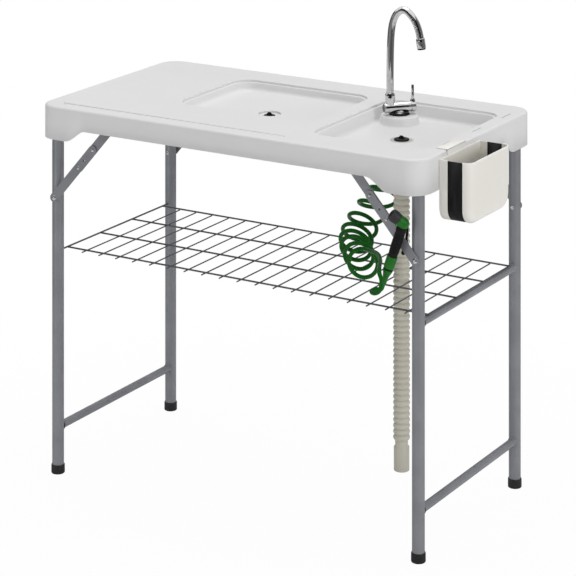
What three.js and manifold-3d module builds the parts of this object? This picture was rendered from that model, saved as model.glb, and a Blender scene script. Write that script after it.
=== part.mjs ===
// A folding camping sink stand: a moulded worktop with two basins on two tubular leg frames, with a swivel
// tap, a wire shelf, a ribbed drain hose, a coiled water hose with a spray gun, and a folding waste bin on
// its edge.
// Millimetres, +Z up, +X along the worktop to the bin, +Y to the back. The origin is the middle of the floor.
import * as THREE from 'three';
import { mergeVertices } from 'three/addons/utils/BufferGeometryUtils.js';
import Module from 'manifold-3d';

const wasm = await Module();
wasm.setup();

// Clearances that the whole stand shares
const seatGap = 0.3;
const overrun = 20;

// Worktop
const worktop = {
  length: 1050, width: 580, topZ: 900, cornerR: 50, edgeR: 8, plate: 5, wall: 5, footDrop: 80,
  skirtDrop: 50.5,
  footLength: 84, rampLength: 56, endFootLength: 112, rebateWidth: 6, rebateDepth: 2.5,
};
const basinShape = { halfWidth: 196, cornerR: 38, slope: 14, floorR: 12, skin: 4 };
const bigBasin = { left: -240, right: 130, depth: 27, drainX: -52, drainY: 15, recess: 6 };
const smallBasin = { left: 187, right: 487, depth: 38, drainX: 323, drainY: -6, recess: 2 };
const tapBoss = { x: 242, y: 133, drop: 16.5, topR: 45, footR: 50, bore: 10.5 };
const drainSeat = { recessR: 27, boreR: 17 };

// Leg frames
const leg = { x: 494.5, y: 245.5, radius: 14.3, wall: 1.2, topDrop: 28, bottomZ: 3 };
const foot = { radius: 16.5, height: 22, wall: 1.9, edgeR: 2.5 };
const bar = { radius: 9.5, wall: 1.2, lowZ: 111.5, railZ: 526.7, hingeDrop: 42 };
const saddle = { width: 20, inset: 5, wall: 3.2, flangeLength: 48, flangeThickness: 3, boreGap: 0.3 };

// Braces from the legs to the underside
const brace = {
  rivetZ: 671, angleDeg: 48.7, topDrop: 26, width: 22, thickness: 3, legGap: 0.3, linkGap: 0.3,
  midShare: 0.5, holeSpread: 30, holeR: 4,
};
const rivet = {
  shankR: 3, headR: 6.2, headHeight: 2.6, tailR: 5, tailHeight: 2, smallHeadR: 4.2, boreGap: 0.3,
  sink: 0.7,
};
const braceBracket = { length: 36, thickness: 3, flange: 22, below: 13 };

// Wire shelf
const shelf = {
  halfWidth: 207.5, longR: 2.1, crossR: 1.6, crossCount: 19, crossPitch: 49.33, firstCross: -442,
  stub: 12, endPast: 6, pinDepth: 4, pinGap: 0.5, weld: 0.5,
};

// Waste bin on the right end
const bin = {
  rimDrop: 12, height: 131, width: 202, frontY: -207, backDepth: 22, bandDepth: 19, frontDepth: 40,
  wall: 2.2, bottomR: 30, faceR: 12, bandInset: 1.2,
};
const hook = { width: 90, offset: 40, lipLength: 36, lipDrop: 9 };
const hookSlot = { x: 499.5, width: 4, length: 44, pitch: 155, firstY: -122, count: 3 };

// Drain fittings
const drain = {
  flangeR: 26.4, flangeHeight: 1.6, pipeR: 16.4, pipeBore: 13.6, tail: 44, nutR: 25, nutHeight: 11,
  plugR: 15, plugHeight: 3.4, stemR: 12.4, stemLength: 12, ridgeLength: 23, ridgeWidth: 5, ridgeHeight: 8.5,
};

// Ribbed drain hose
const hose = {
  crestR: 20, rootR: 16.9, bore: 14.2, cuffR: 18.4, topCuffR: 20.6, topCuff: 38, cuffLength: 56,
  neckLength: 15,
  ribPitch: 11.05, ribCount: 56, ribsPerBoreRing: 5, sides: 8, bottomZ: 90,
};

// Tap
const tap = {
  gasketR: 25, gasketHeight: 3, neckR: 11, bodyRise: 16.8, bodyR: 12.4, bodyLength: 80, axisDeg: 49,
  spoutShare: 0.3,
  collarR: 12, collarSink: 1.2, collarHeight: 26, tubeR: 8.6, tubeBore: 6.8, spoutDeg: -5, aeratorR: 10.6,
  aeratorLength: 23, leverR: 3.3, leverHeight: 39, leverRing: 12, ringR: 13, tailR: 10, tailLength: 46,
  nutR: 17,
  nutHeight: 7, stemR: 8, stemLength: 7,
};

// The swan neck's line as [reach, rise] from the collar's top
const neckLine = [
  [0, 0], [0.3, 52], [1.2, 102], [3, 138], [7, 165], [15, 185], [26, 197], [38, 202.3], [50, 199.6], [63,
  189],
  [74, 175], [81.5, 159], [86, 143], [88.2, 129],
];

// Coiled water hose and what it joins
const coil = {
  radius: 4.25, loopR: 38, turns: 8.75, stepsPerTurn: 23, sides: 6, pointsPerTurn: 12, easing: 1.15,
};
const tapJoiner = { radius: 12, length: 30, sleeveR: 8.5, sleeveLength: 12 };
const gun = {
  x: 424.7, z: 615, clear: 3.4, leanDeg: 19.6, gripR: 12, waistR: 10.5, tailR: 6.2, tailLength: 16,
  coneLength: 20,
  coneR: 11.6, ringLength: 3.7, ringR: 10, joinerLength: 29, joinerR: 12.2, gripLength: 72, headR: 13,
  headLength: 22,
  turnShare: 0.65, collarLength: 3, dialR: 14, dialLength: 19, dialBack: 2, triggerR: 3,
};

const materials = {
  white: new THREE.MeshStandardMaterial({ color: 0xe9e9e8, roughness: 0.5 }),
  cream: new THREE.MeshStandardMaterial({ color: 0xe6e4da, roughness: 0.5 }),
  hoseCream: new THREE.MeshStandardMaterial({ color: 0xd2d0bf, roughness: 0.6 }),
  black: new THREE.MeshStandardMaterial({ color: 0x1b1b1b, roughness: 0.6 }),
  grey: new THREE.MeshStandardMaterial({ color: 0x7b7c82, roughness: 0.45, metalness: 0.3 }),
  wire: new THREE.MeshStandardMaterial({ color: 0x55565a, roughness: 0.45, metalness: 0.3 }),
  zinc: new THREE.MeshStandardMaterial({ color: 0xb9bbbd, roughness: 0.3, metalness: 0.9 }),
  chrome: new THREE.MeshStandardMaterial({ color: 0xd9dadb, roughness: 0.08, metalness: 1 }),
  green: new THREE.MeshStandardMaterial({ color: 0x1d6b27, roughness: 0.4 }),
  lime: new THREE.MeshStandardMaterial({ color: 0x2a8f2f, roughness: 0.4 }),
};

const stand = new THREE.Group();
stand.name = 'camping_sink_stand';

// Small helpers

const vec = (x, y, z) => new THREE.Vector3(x, y, z);
const radians = THREE.MathUtils.degToRad;

// A closed, indexed geometry with positions only, its faces pointing out.
function closed(geometry) {
  const bare = new THREE.BufferGeometry();
  bare.setAttribute('position', geometry.getAttribute('position').clone());
  if (geometry.index) bare.setIndex([...geometry.index.array]);
  const merged = mergeVertices(bare, 1e-3);
  const position = merged.getAttribute('position');
  const corners = [...merged.index.array];
  const faces = [];
  let volume = 0;
  for (let i = 0; i < corners.length; i += 3) {
    const [a, b, c] = corners.slice(i, i + 3);
    if (a === b || b === c || a === c) continue;
    faces.push([a, b, c]);
    const [p, q, r] = [a, b, c].map((k) => new THREE.Vector3().fromBufferAttribute(position, k));
    volume += p.dot(q.cross(r));
  }
  merged.setIndex((volume < 0 ? faces.map(([a, b, c]) => [a, c, b]) : faces).flat());
  return merged;
}

function toSolid(geometry) {
  const merged = closed(geometry);
  const vertProperties = new Float32Array(merged.getAttribute('position').array);
  const triVerts = new Uint32Array(merged.index.array);
  return new wasm.Manifold(new wasm.Mesh({ numProp: 3, vertProperties, triVerts }));
}

function toGeometry(solid) {
  const mesh = solid.getMesh();
  const geometry = new THREE.BufferGeometry();
  geometry.setAttribute('position', new THREE.BufferAttribute(new Float32Array(mesh.vertProperties), 3));
  geometry.setIndex([...mesh.triVerts]);
  return geometry;
}

const joined = (...solids) => solids.reduce((sum, next) => sum.add(next));
const without = (solid, ...cuts) => cuts.reduce((left, next) => left.subtract(next), solid);

function part(name, shape, material) {
  const geometry = closed(shape instanceof THREE.BufferGeometry ? shape : toGeometry(shape));
  geometry.computeVertexNormals();
  const mesh = new THREE.Mesh(geometry, material);
  mesh.name = name;
  stand.add(mesh);
  return mesh;
}

// A shape turned from a profile of [radius, height] pairs, standing along +Z.
function turned(profile, sides) {
  const points = profile.map(([r, h]) => new THREE.Vector2(r, h));
  return new THREE.LatheGeometry(points, sides).rotateX(Math.PI / 2);
}

// Moves a shape built along +Z so that it starts at a point and runs in a direction.
function along(geometry, start, direction) {
  const turn = new THREE.Quaternion().setFromUnitVectors(vec(0, 0, 1), direction.clone().normalize());
  return geometry.applyQuaternion(turn).translate(start.x, start.y, start.z);
}

function rod(from, to, radius, sides = 12) {
  const length = from.distanceTo(to);
  const outline = [[0, 0], [radius, 0], [radius, length], [0, length]];
  return along(turned(outline, sides), from, to.clone().sub(from));
}

function pipe(from, to, radius, bore, sides = 16) {
  const length = from.distanceTo(to);
  const profile = [[bore, 0], [radius, 0], [radius, length], [bore, length], [bore, 0]];
  return along(turned(profile, sides), from, to.clone().sub(from));
}

const box = (low, high) => new THREE.BoxGeometry(high.x - low.x, high.y - low.y, high.z - low.z)
  .translate((low.x + high.x) / 2, (low.y + high.y) / 2, (low.z + high.z) / 2);

// The corner points of a rounded rectangle, anticlockwise, with the same count at every size.
function roundedOutline(left, right, front, back, radius, steps = 6) {
  const corners = [[right, back, 0], [left, back, 1], [left, front, 2], [right, front, 3]];
  const points = [];
  for (const [x, y, quarter] of corners) {
    const centreX = x - Math.sign(x - (left + right) / 2) * radius;
    const centreY = y - Math.sign(y - (front + back) / 2) * radius;
    for (let i = 0; i <= steps; i += 1) {
      const angle = (quarter + i / steps) * Math.PI / 2;
      points.push(new THREE.Vector2(centreX + radius * Math.cos(angle), centreY + radius * Math.sin(angle)));
    }
  }
  return points;
}

// A solid skinned over convex outlines at rising heights.
function loft(levels) {
  const count = levels[0].outline.length;
  const positions = levels.flatMap(({ outline, z }) => outline.flatMap((p) => [p.x, p.y, z]));
  const faces = [];
  for (let level = 0; level + 1 < levels.length; level += 1) {
    for (let i = 0; i < count; i += 1) {
      const [a, b] = [level * count + i, level * count + (i + 1) % count];
      faces.push(a, b, b + count, a, b + count, a + count);
    }
  }
  const top = (levels.length - 1) * count;
  for (let i = 1; i + 1 < count; i += 1) faces.push(0, i + 1, i, top, top + i, top + i + 1);
  const geometry = new THREE.BufferGeometry();
  geometry.setAttribute('position', new THREE.Float32BufferAttribute(positions, 3));
  geometry.setIndex(faces);
  return geometry;
}

// A tube of even thickness that follows points without twisting, with flat ends.
const nearlyUpright = 0.9;
function sweep(points, radius, sides) {
  const positions = [];
  const faces = [];
  let normal = null;
  points.forEach((point, i) => {
    const before = points[Math.max(i - 1, 0)];
    const after = points[Math.min(i + 1, points.length - 1)];
    const tangent = after.clone().sub(before).normalize();
    if (!normal) normal = Math.abs(tangent.z) < nearlyUpright ? vec(0, 0, 1) : vec(1, 0, 0);
    normal = normal.sub(tangent.clone().multiplyScalar(normal.dot(tangent))).normalize();
    const side = tangent.clone().cross(normal);
    for (let k = 0; k < sides; k += 1) {
      const angle = 2 * Math.PI * k / sides;
      const spoke = normal.clone().multiplyScalar(Math.cos(angle))
        .add(side.clone().multiplyScalar(Math.sin(angle)));
      positions.push(...point.clone().add(spoke.multiplyScalar(radius)).toArray());
    }
    normal = normal.clone();
  });
  for (let i = 0; i + 1 < points.length; i += 1) {
    for (let k = 0; k < sides; k += 1) {
      const [a, b] = [i * sides + k, i * sides + (k + 1) % sides];
      faces.push(a, b, b + sides, a, b + sides, a + sides);
    }
  }
  const last = (points.length - 1) * sides;
  for (let k = 1; k + 1 < sides; k += 1) faces.push(0, k + 1, k, last, last + k, last + k + 1);
  const geometry = new THREE.BufferGeometry();
  geometry.setAttribute('position', new THREE.Float32BufferAttribute(positions, 3));
  geometry.setIndex(faces);
  return geometry;
}

// Worktop: a thin moulded shell with a hanging skirt, deeper at the corners, and two basins let into
// its plate.

const underZ = worktop.topZ - worktop.plate;
const footZ = worktop.topZ - worktop.footDrop;
const skirtZ = worktop.topZ - worktop.skirtDrop;
const halfLength = worktop.length / 2;
const halfWidth = worktop.width / 2;

function worktopOutline(inset) {
  const [x, y] = [halfLength - inset, halfWidth - inset];
  return roundedOutline(-x, x, -y, y, worktop.cornerR - inset);
}

function worktopShell() {
  const edgeSteps = 3;
  const levels = [{ outline: worktopOutline(0), z: footZ }];
  for (let i = 0; i <= edgeSteps; i += 1) {
    const angle = (i / edgeSteps) * Math.PI / 2;
    const inset = worktop.edgeR * (1 - Math.cos(angle));
    levels.push({ outline: worktopOutline(inset), z: worktop.topZ - worktop.edgeR * (1 - Math.sin(angle)) });
  }
  const inside = worktopOutline(worktop.wall);
  return without(toSolid(loft(levels)), toSolid(loft([
    { outline: inside, z: footZ - overrun },
    { outline: inside, z: underZ },
  ])));
}

// The window that lifts the skirt between the corner feet, as a cutter that runs across the whole worktop.
function skirtWindow(halfSpan, footLength, halfRun) {
  const outer = halfSpan - footLength;
  const inner = outer - worktop.rampLength;
  const bend = worktop.rampLength / 2;
  const window = new THREE.Shape();
  window.moveTo(-outer, footZ - overrun);
  window.lineTo(-outer, footZ);
  window.bezierCurveTo(-outer + bend, footZ, -inner - bend, skirtZ, -inner, skirtZ);
  window.lineTo(inner, skirtZ);
  window.bezierCurveTo(inner + bend, skirtZ, outer - bend, footZ, outer, footZ);
  window.lineTo(outer, footZ - overrun);
  const depth = 2 * (halfRun + overrun);
  return new THREE.ExtrudeGeometry(window, { depth, bevelEnabled: false, curveSegments: 6 })
    .translate(0, 0, -depth / 2).rotateX(Math.PI / 2);
}

// A basin's inside: a rebate at the rim, walls that lean in, and a rounded foot to the walls.
function basinHollow(basin) {
  const { halfWidth: y, cornerR, slope, floorR } = basinShape;
  const outline = (inset) => roundedOutline(
    basin.left + inset, basin.right - inset, -y + inset, y - inset, Math.max(cornerR - inset / 2, floorR), 4,
  );
  const floorZ = worktop.topZ - basin.depth;
  const seatZ = worktop.topZ - worktop.rebateDepth;
  const levels = [];
  const footSteps = 3;
  for (let i = 0; i <= footSteps; i += 1) {
    const angle = (i / footSteps) * Math.PI / 2;
    levels.push({
      outline: outline(slope + floorR * (1 - Math.sin(angle))),
      z: floorZ + floorR * (1 - Math.cos(angle)),
    });
  }
  levels.push({ outline: outline(0), z: seatZ });
  const rim = outline(-worktop.rebateWidth);
  return joined(toSolid(loft(levels)), toSolid(loft([
    { outline: rim, z: seatZ },
    { outline: rim, z: worktop.topZ + overrun },
  ])));
}

// The skin under a basin, which the hollow is then cut from.
function basinTub(basin) {
  const { halfWidth: y, cornerR, slope, skin } = basinShape;
  const outline = (grow) => roundedOutline(
    basin.left - grow, basin.right + grow, -y - grow, y + grow, cornerR + Math.max(grow, 0), 4,
  );
  return toSolid(loft([
    { outline: outline(skin - slope - basinShape.floorR / 2), z: worktop.topZ - basin.depth - skin },
    { outline: outline(skin - slope + skin / 2), z: worktop.topZ - basin.depth + basinShape.floorR / 2 },
    { outline: outline(skin + worktop.rebateWidth / 2), z: worktop.topZ - worktop.rebateDepth - skin },
    { outline: outline(skin + worktop.rebateWidth), z: worktop.topZ - worktop.edgeR / 4 },
  ]));
}

const bossTopZ = worktop.topZ - tapBoss.drop;
const smallFloorZ = worktop.topZ - smallBasin.depth;
const smallUnderZ = smallFloorZ - basinShape.skin;

function drainOpening(basin) {
  const floorZ = worktop.topZ - basin.depth;
  const at = (z) => vec(basin.drainX, basin.drainY, z);
  return joined(
    toSolid(rod(at(floorZ - basin.recess), at(floorZ + basin.recess), drainSeat.recessR, 20)),
    toSolid(rod(at(floorZ - basinShape.skin - overrun), at(floorZ), drainSeat.boreR, 20)),
  );
}

// A thicker pad under each floor carries the recess of the drain flange.
function drainPad(basin) {
  const floorZ = worktop.topZ - basin.depth;
  const at = (z) => vec(basin.drainX, basin.drainY, z);
  return toSolid(rod(
    at(floorZ - basin.recess - basinShape.skin), at(floorZ - basinShape.skin / 2),
    drainSeat.recessR + basinShape.skin, 20,
  ));
}

function makeWorktop() {
  const boss = toSolid(turned([
    [0, smallUnderZ], [tapBoss.footR, smallUnderZ], [tapBoss.footR, smallFloorZ],
    [tapBoss.topR + worktop.edgeR / 4, bossTopZ - worktop.edgeR / 4], [tapBoss.topR, bossTopZ], [0, bossTopZ],
  ], 28).translate(tapBoss.x, tapBoss.y, 0));
  const bossBore = toSolid(rod(
    vec(tapBoss.x, tapBoss.y, smallUnderZ - overrun), vec(tapBoss.x, tapBoss.y, bossTopZ + overrun),
    tapBoss.bore, 20,
  ));
  const hookSlots = Array.from({ length: hookSlot.count }, (_, i) => {
    const y = hookSlot.firstY + i * hookSlot.pitch;
    const [halfSlot, halfRun] = [hookSlot.width / 2, hookSlot.length / 2];
    return toSolid(box(
      vec(hookSlot.x - halfSlot, y - halfRun, underZ - overrun),
      vec(hookSlot.x + halfSlot, y + halfRun, worktop.topZ + overrun),
    ));
  });
  const body = joined(
    worktopShell(), basinTub(bigBasin), basinTub(smallBasin), drainPad(bigBasin), drainPad(smallBasin),
  );
  return without(
    body,
    basinHollow(bigBasin),
    basinHollow(smallBasin).subtract(boss),
    drainOpening(bigBasin),
    drainOpening(smallBasin),
    bossBore,
    ...hookSlots,
    toSolid(skirtWindow(halfLength, worktop.footLength, halfWidth)),
    toSolid(skirtWindow(halfWidth, worktop.endFootLength, halfLength).rotateZ(Math.PI / 2)),
  );
}
part('worktop', makeWorktop(), materials.white);

// Leg frames: four tubes with end caps, two floor bars, one shelf rail and two hinge tubes.

const legTopZ = worktop.topZ - leg.topDrop;
const hingeZ = worktop.topZ - bar.hingeDrop;
const barEnd = leg.y - leg.radius - seatGap;
const shelfZ = bar.railZ + bar.radius + seatGap + shelf.longR;
const ends = [['left', -1], ['right', 1]];
const rows = [['front', -1], ['back', 1]];

function makeLeg(endSign, rowSign) {
  const [x, y] = [endSign * leg.x, rowSign * leg.y];
  const tube = toSolid(pipe(vec(x, y, leg.bottomZ), vec(x, y, legTopZ), leg.radius, leg.radius - leg.wall));
  const across = leg.radius + overrun;
  const rivetHole = rod(
    vec(x, y - across, brace.rivetZ), vec(x, y + across, brace.rivetZ), rivet.shankR + rivet.boreGap, 10,
  );
  if (endSign > 0) return without(tube, toSolid(rivetHole));
  const pinHoleR = shelf.longR + shelf.pinGap;
  const pinHole = rod(vec(x, y, shelfZ), vec(x, y - rowSign * across, shelfZ), pinHoleR, 10);
  return without(tube, toSolid(rivetHole), toSolid(pinHole));
}

function makeFoot(x, y) {
  const inside = leg.radius + seatGap;
  const floorZ = leg.bottomZ - seatGap;
  return turned([
    [0, 0], [foot.radius - foot.edgeR, 0], [foot.radius, foot.edgeR], [inside + foot.wall, foot.height],
    [inside, foot.height], [inside, floorZ], [0, floorZ],
  ], 16).translate(x, y, 0);
}

for (const [endName, endSign] of ends) {
  for (const [rowName, rowSign] of rows) {
    part(`leg_${rowName}_${endName}`, makeLeg(endSign, rowSign), materials.grey);
    part(`foot_${rowName}_${endName}`, makeFoot(endSign * leg.x, rowSign * leg.y), materials.black);
  }
  const crossBar = (z) => pipe(
    vec(endSign * leg.x, -barEnd, z), vec(endSign * leg.x, barEnd, z), bar.radius, bar.radius - bar.wall, 12,
  );
  part(`floor_bar_${endName}`, crossBar(bar.lowZ), materials.grey);
  part(`hinge_tube_${endName}`, crossBar(hingeZ), materials.grey);
  if (endSign > 0) part('shelf_rail', crossBar(bar.railZ), materials.grey);
}

// Saddles that hold the hinge tubes up against the underside of the worktop.
function makeSaddle(endSign, rowSign) {
  const bore = bar.radius + saddle.boreGap;
  const outer = bore + saddle.wall;
  const top = underZ - seatGap - hingeZ;
  const half = saddle.flangeLength / 2;
  const shape = new THREE.Shape();
  shape.moveTo(-half, top);
  shape.lineTo(-half, top - saddle.flangeThickness);
  shape.lineTo(-outer, top - saddle.flangeThickness);
  shape.lineTo(-outer, 0);
  shape.absarc(0, 0, outer, Math.PI, 2 * Math.PI, false);
  shape.lineTo(outer, top - saddle.flangeThickness);
  shape.lineTo(half, top - saddle.flangeThickness);
  shape.lineTo(half, top);
  shape.closePath();
  shape.holes.push(new THREE.Path().absarc(0, 0, bore, 0, 2 * Math.PI, true));
  const depth = saddle.width;
  const middle = rowSign * (barEnd - saddle.inset - depth / 2);
  return new THREE.ExtrudeGeometry(shape, { depth, bevelEnabled: false, curveSegments: 10 })
    .translate(0, 0, -depth / 2).rotateX(Math.PI / 2).translate(endSign * leg.x, middle, hingeZ);
}
for (const [endName, endSign] of ends) {
  for (const [rowName, rowSign] of rows) {
    part(`saddle_${rowName}_${endName}`, makeSaddle(endSign, rowSign), materials.zinc);
  }
}

// Braces: a lower link on the leg's outer side and an upper link behind it, riveted where they lap.

const braceAngle = radians(brace.angleDeg);
const braceTopZ = worktop.topZ - brace.topDrop;
const braceLength = (braceTopZ - brace.rivetZ) / Math.sin(braceAngle);
const midAlong = braceLength * brace.midShare;
const lowerOuterY = leg.y + leg.radius + brace.legGap + brace.thickness;
const lowerInnerY = lowerOuterY - brace.thickness;
const upperOuterY = lowerInnerY - brace.linkGap;
const upperInnerY = upperOuterY - brace.thickness;

// A flat link that runs along +X from one round end to the other, with holes, in the plane of X and Z.
function linkPlate(from, to, holes, thickness) {
  const half = brace.width / 2;
  const shape = new THREE.Shape();
  shape.moveTo(from, -half);
  shape.lineTo(to, -half);
  shape.absarc(to, 0, half, -Math.PI / 2, Math.PI / 2, false);
  shape.lineTo(from, half);
  shape.absarc(from, 0, half, Math.PI / 2, 3 * Math.PI / 2, false);
  for (const [at, radius] of holes) {
    shape.holes.push(new THREE.Path().absarc(at, 0, radius, 0, 2 * Math.PI, true));
  }
  return new THREE.ExtrudeGeometry(shape, { depth: thickness, bevelEnabled: false, curveSegments: 4 })
    .rotateX(Math.PI / 2);
}

// Turns a link up to its slope at one corner of the stand, its outer face at the given distance from the
// middle.
function atCorner(geometry, endSign, rowSign, outerY) {
  const outerFace = rowSign < 0 ? -outerY + brace.thickness : outerY;
  const slope = new THREE.Matrix4().makeRotationY(-braceAngle);
  geometry.applyMatrix4(slope);
  if (endSign > 0) geometry.applyMatrix4(new THREE.Matrix4().makeScale(-1, 1, 1));
  return geometry.translate(endSign * leg.x, outerFace, brace.rivetZ);
}

const bore = rivet.shankR + rivet.boreGap;
const holeNear = midAlong - brace.holeSpread;
const holeFar = midAlong + brace.holeSpread;

// A rivet along Y: a domed head on the outer side, its shank, and a flat tail on the inner side.
function makeRivet(x, z, rowSign, headY, tailY, headR) {
  const length = headY - tailY;
  return toSolid(along(turned([
    [0, -rivet.headHeight], [headR / 2, -rivet.headHeight], [headR, 0],
    [rivet.shankR, 0], [rivet.shankR, length], [rivet.tailR, length],
    [rivet.tailR, length + rivet.tailHeight], [0, length + rivet.tailHeight],
  ], 8), vec(x, rowSign * headY, z), vec(0, -rowSign, 0)));
}

for (const [endName, endSign] of ends) {
  for (const [rowName, rowSign] of rows) {
    const cornerName = `${rowName}_${endName}`;
    const topX = endSign * (leg.x - braceLength * Math.cos(braceAngle));
    const midX = endSign * (leg.x - midAlong * Math.cos(braceAngle));
    const midZ = brace.rivetZ + midAlong * Math.sin(braceAngle);

    // The leg's rivet and the middle one are set in the lower link.
    const headY = lowerOuterY - rivet.sink;
    const lower = linkPlate(0, holeFar, [[holeNear, brace.holeR], [holeFar, brace.holeR]], brace.thickness);
    part(`brace_lower_${cornerName}`, joined(
      toSolid(atCorner(lower, endSign, rowSign, lowerOuterY)),
      makeRivet(endSign * leg.x, brace.rivetZ, rowSign, headY, leg.y - leg.radius - seatGap, rivet.headR),
      makeRivet(midX, midZ, rowSign, headY, upperInnerY - seatGap, rivet.smallHeadR),
    ), materials.grey);

    const upper = linkPlate(holeNear, braceLength,
      [[holeNear, brace.holeR], [midAlong, bore], [holeFar, brace.holeR], [braceLength, bore]],
      brace.thickness);
    part(`brace_upper_${cornerName}`, atCorner(upper, endSign, rowSign, upperOuterY), materials.grey);

    // The bracket under the worktop carries the top rivet in its ear.
    const earOuterY = upperInnerY - seatGap;
    const earInnerY = earOuterY - braceBracket.thickness;
    const half = braceBracket.length / 2;
    const span = (a, b) => [Math.min(rowSign * a, rowSign * b), Math.max(rowSign * a, rowSign * b)];
    const [earLow, earHigh] = span(earInnerY, earOuterY);
    const [flangeLow, flangeHigh] = span(earOuterY - braceBracket.flange, earOuterY);
    const seatZ = underZ - seatGap;
    part(`brace_bracket_${cornerName}`, joined(
      toSolid(box(
        vec(topX - half, earLow, braceTopZ - braceBracket.below), vec(topX + half, earHigh, seatZ),
      )),
      toSolid(box(
        vec(topX - half, flangeLow, seatZ - braceBracket.thickness), vec(topX + half, flangeHigh, seatZ),
      )),
      makeRivet(topX, braceTopZ, rowSign, upperOuterY + seatGap, earInnerY + rivet.sink, rivet.smallHeadR),
    ), materials.zinc);
  }
}

// Wire shelf: long wires over cross wires, pinned into the left legs and lying on the right rail.

function makeShelf() {
  const left = -leg.x;
  const right = leg.x + shelf.endPast;
  const wires = [];
  const rowCount = 4;
  for (let i = 0; i < rowCount; i += 1) {
    const y = -shelf.halfWidth + 2 * shelf.halfWidth * i / (rowCount - 1);
    wires.push(rod(vec(left, y, shelfZ), vec(right, y, shelfZ), shelf.longR, 6));
  }
  const pinEnd = leg.y - leg.radius + shelf.pinDepth;
  wires.push(rod(vec(left, -pinEnd, shelfZ), vec(left, pinEnd, shelfZ), shelf.longR, 6));
  wires.push(rod(vec(right, -shelf.halfWidth, shelfZ), vec(right, shelf.halfWidth, shelfZ), shelf.longR, 6));
  const crossZ = shelfZ - shelf.longR - shelf.crossR + shelf.weld;
  for (let i = 0; i < shelf.crossCount; i += 1) {
    const x = shelf.firstCross + i * shelf.crossPitch;
    wires.push(rod(
      vec(x, -shelf.halfWidth - shelf.stub, crossZ), vec(x, shelf.halfWidth + shelf.longR, crossZ),
      shelf.crossR, 6,
    ));
  }
  return joined(...wires.map(toSolid));
}
part('shelf_grid', makeShelf(), materials.wire);

// Waste bin: three nested slices of one tapered bucket, hung from a hook over the worktop's right edge.

const binX = halfLength + seatGap;
const binFrontX = binX + bin.backDepth + bin.bandDepth + bin.frontDepth;
const rimZ = worktop.topZ - bin.rimDrop;
const binBottomZ = rimZ - bin.height;

// The bucket's outline across the stand, closed at the top, with round bottom corners.
function bucketOutline(inset, topZ) {
  const [left, right] = [bin.frontY + inset, bin.frontY + bin.width - inset];
  const bottom = binBottomZ + inset;
  const radius = Math.max(bin.bottomR - inset, bin.wall);
  const steps = 6;
  const points = [new THREE.Vector2(right, topZ), new THREE.Vector2(left, topZ)];
  for (let i = 0; i <= steps; i += 1) {
    const angle = Math.PI + (i / steps) * Math.PI / 2;
    const height = bottom + radius * (1 + Math.sin(angle));
    points.push(new THREE.Vector2(left + radius * (1 + Math.cos(angle)), height));
  }
  for (let i = 0; i <= steps; i += 1) {
    const angle = 1.5 * Math.PI + (i / steps) * Math.PI / 2;
    const height = bottom + radius * (1 + Math.sin(angle));
    points.push(new THREE.Vector2(right + radius * (Math.cos(angle) - 1), height));
  }
  return points;
}

// Stands a loft of outlines in Y and Z up, so that its levels run along +X.
function facingX(geometry) {
  return geometry.applyMatrix4(new THREE.Matrix4().makeBasis(vec(0, 1, 0), vec(0, 0, 1), vec(1, 0, 0)));
}

function bucketSolid(inset, topZ) {
  const faceR = bin.faceR - inset;
  const levels = [{ outline: bucketOutline(inset, topZ), z: binX + inset }];
  const faceSteps = 4;
  for (let i = 0; i <= faceSteps; i += 1) {
    const angle = (i / faceSteps) * Math.PI / 2;
    levels.push({
      outline: bucketOutline(inset + faceR * (1 - Math.cos(angle)), topZ),
      z: binFrontX - inset - faceR * (1 - Math.sin(angle)),
    });
  }
  return toSolid(facingX(loft(levels)));
}

function slab(fromX, toX) {
  const [front, back] = [bin.frontY - overrun, bin.frontY + bin.width + overrun];
  return toSolid(box(vec(fromX, front, binBottomZ - overrun), vec(toX, back, rimZ + overrun)));
}

const bucket = without(bucketSolid(0, rimZ), bucketSolid(bin.wall, rimZ + overrun));
const foldedSkin = without(
  bucketSolid(bin.bandInset, rimZ - bin.bandInset), bucketSolid(bin.bandInset + bin.wall / 2, rimZ + overrun),
);
const bandStart = binX + bin.backDepth;
const bandEnd = bandStart + bin.bandDepth;

// The hook rises from the back shell, lies over the worktop's edge and drops its lip into a slot there.
function makeHook() {
  const low = bin.frontY + hook.offset;
  const high = low + hook.width;
  const middle = (low + high) / 2;
  const seatZ = worktop.topZ + seatGap;
  const lipX = hookSlot.x - bin.wall / 2;
  const [lipLow, lipHigh] = [middle - hook.lipLength / 2, middle + hook.lipLength / 2];
  return joined(...[
    box(vec(binX, low, rimZ - hook.lipDrop), vec(binX + bin.wall, high, seatZ + bin.wall)),
    box(vec(lipX, low, seatZ), vec(binX + bin.wall, high, seatZ + bin.wall)),
    box(vec(lipX, lipLow, seatZ - hook.lipDrop), vec(lipX + bin.wall, lipHigh, seatZ + bin.wall)),
  ].map(toSolid));
}
part('bin_back_shell', bucket.intersect(slab(binX - overrun, bandStart)).add(makeHook()), materials.cream);
part('bin_fold_band', foldedSkin.intersect(slab(bandStart + seatGap, bandEnd - seatGap)), materials.black);
part('bin_front_shell', bucket.intersect(slab(bandEnd, binFrontX + overrun)), materials.cream);

// A hexagon nut with a round bore, its top at a height.
function hexNut(radius, boreR, height, topZ) {
  const blank = turned([[0, topZ - height], [radius, topZ - height], [radius, topZ], [0, topZ]], 6);
  const bore = rod(vec(0, 0, topZ - height - overrun), vec(0, 0, topZ + overrun), boreR, 24);
  return without(toSolid(blank), toSolid(bore));
}

// Drains: a flanged waste with its nut in each basin, a plug in each waste, and a ribbed hose under the small
// one.

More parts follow.
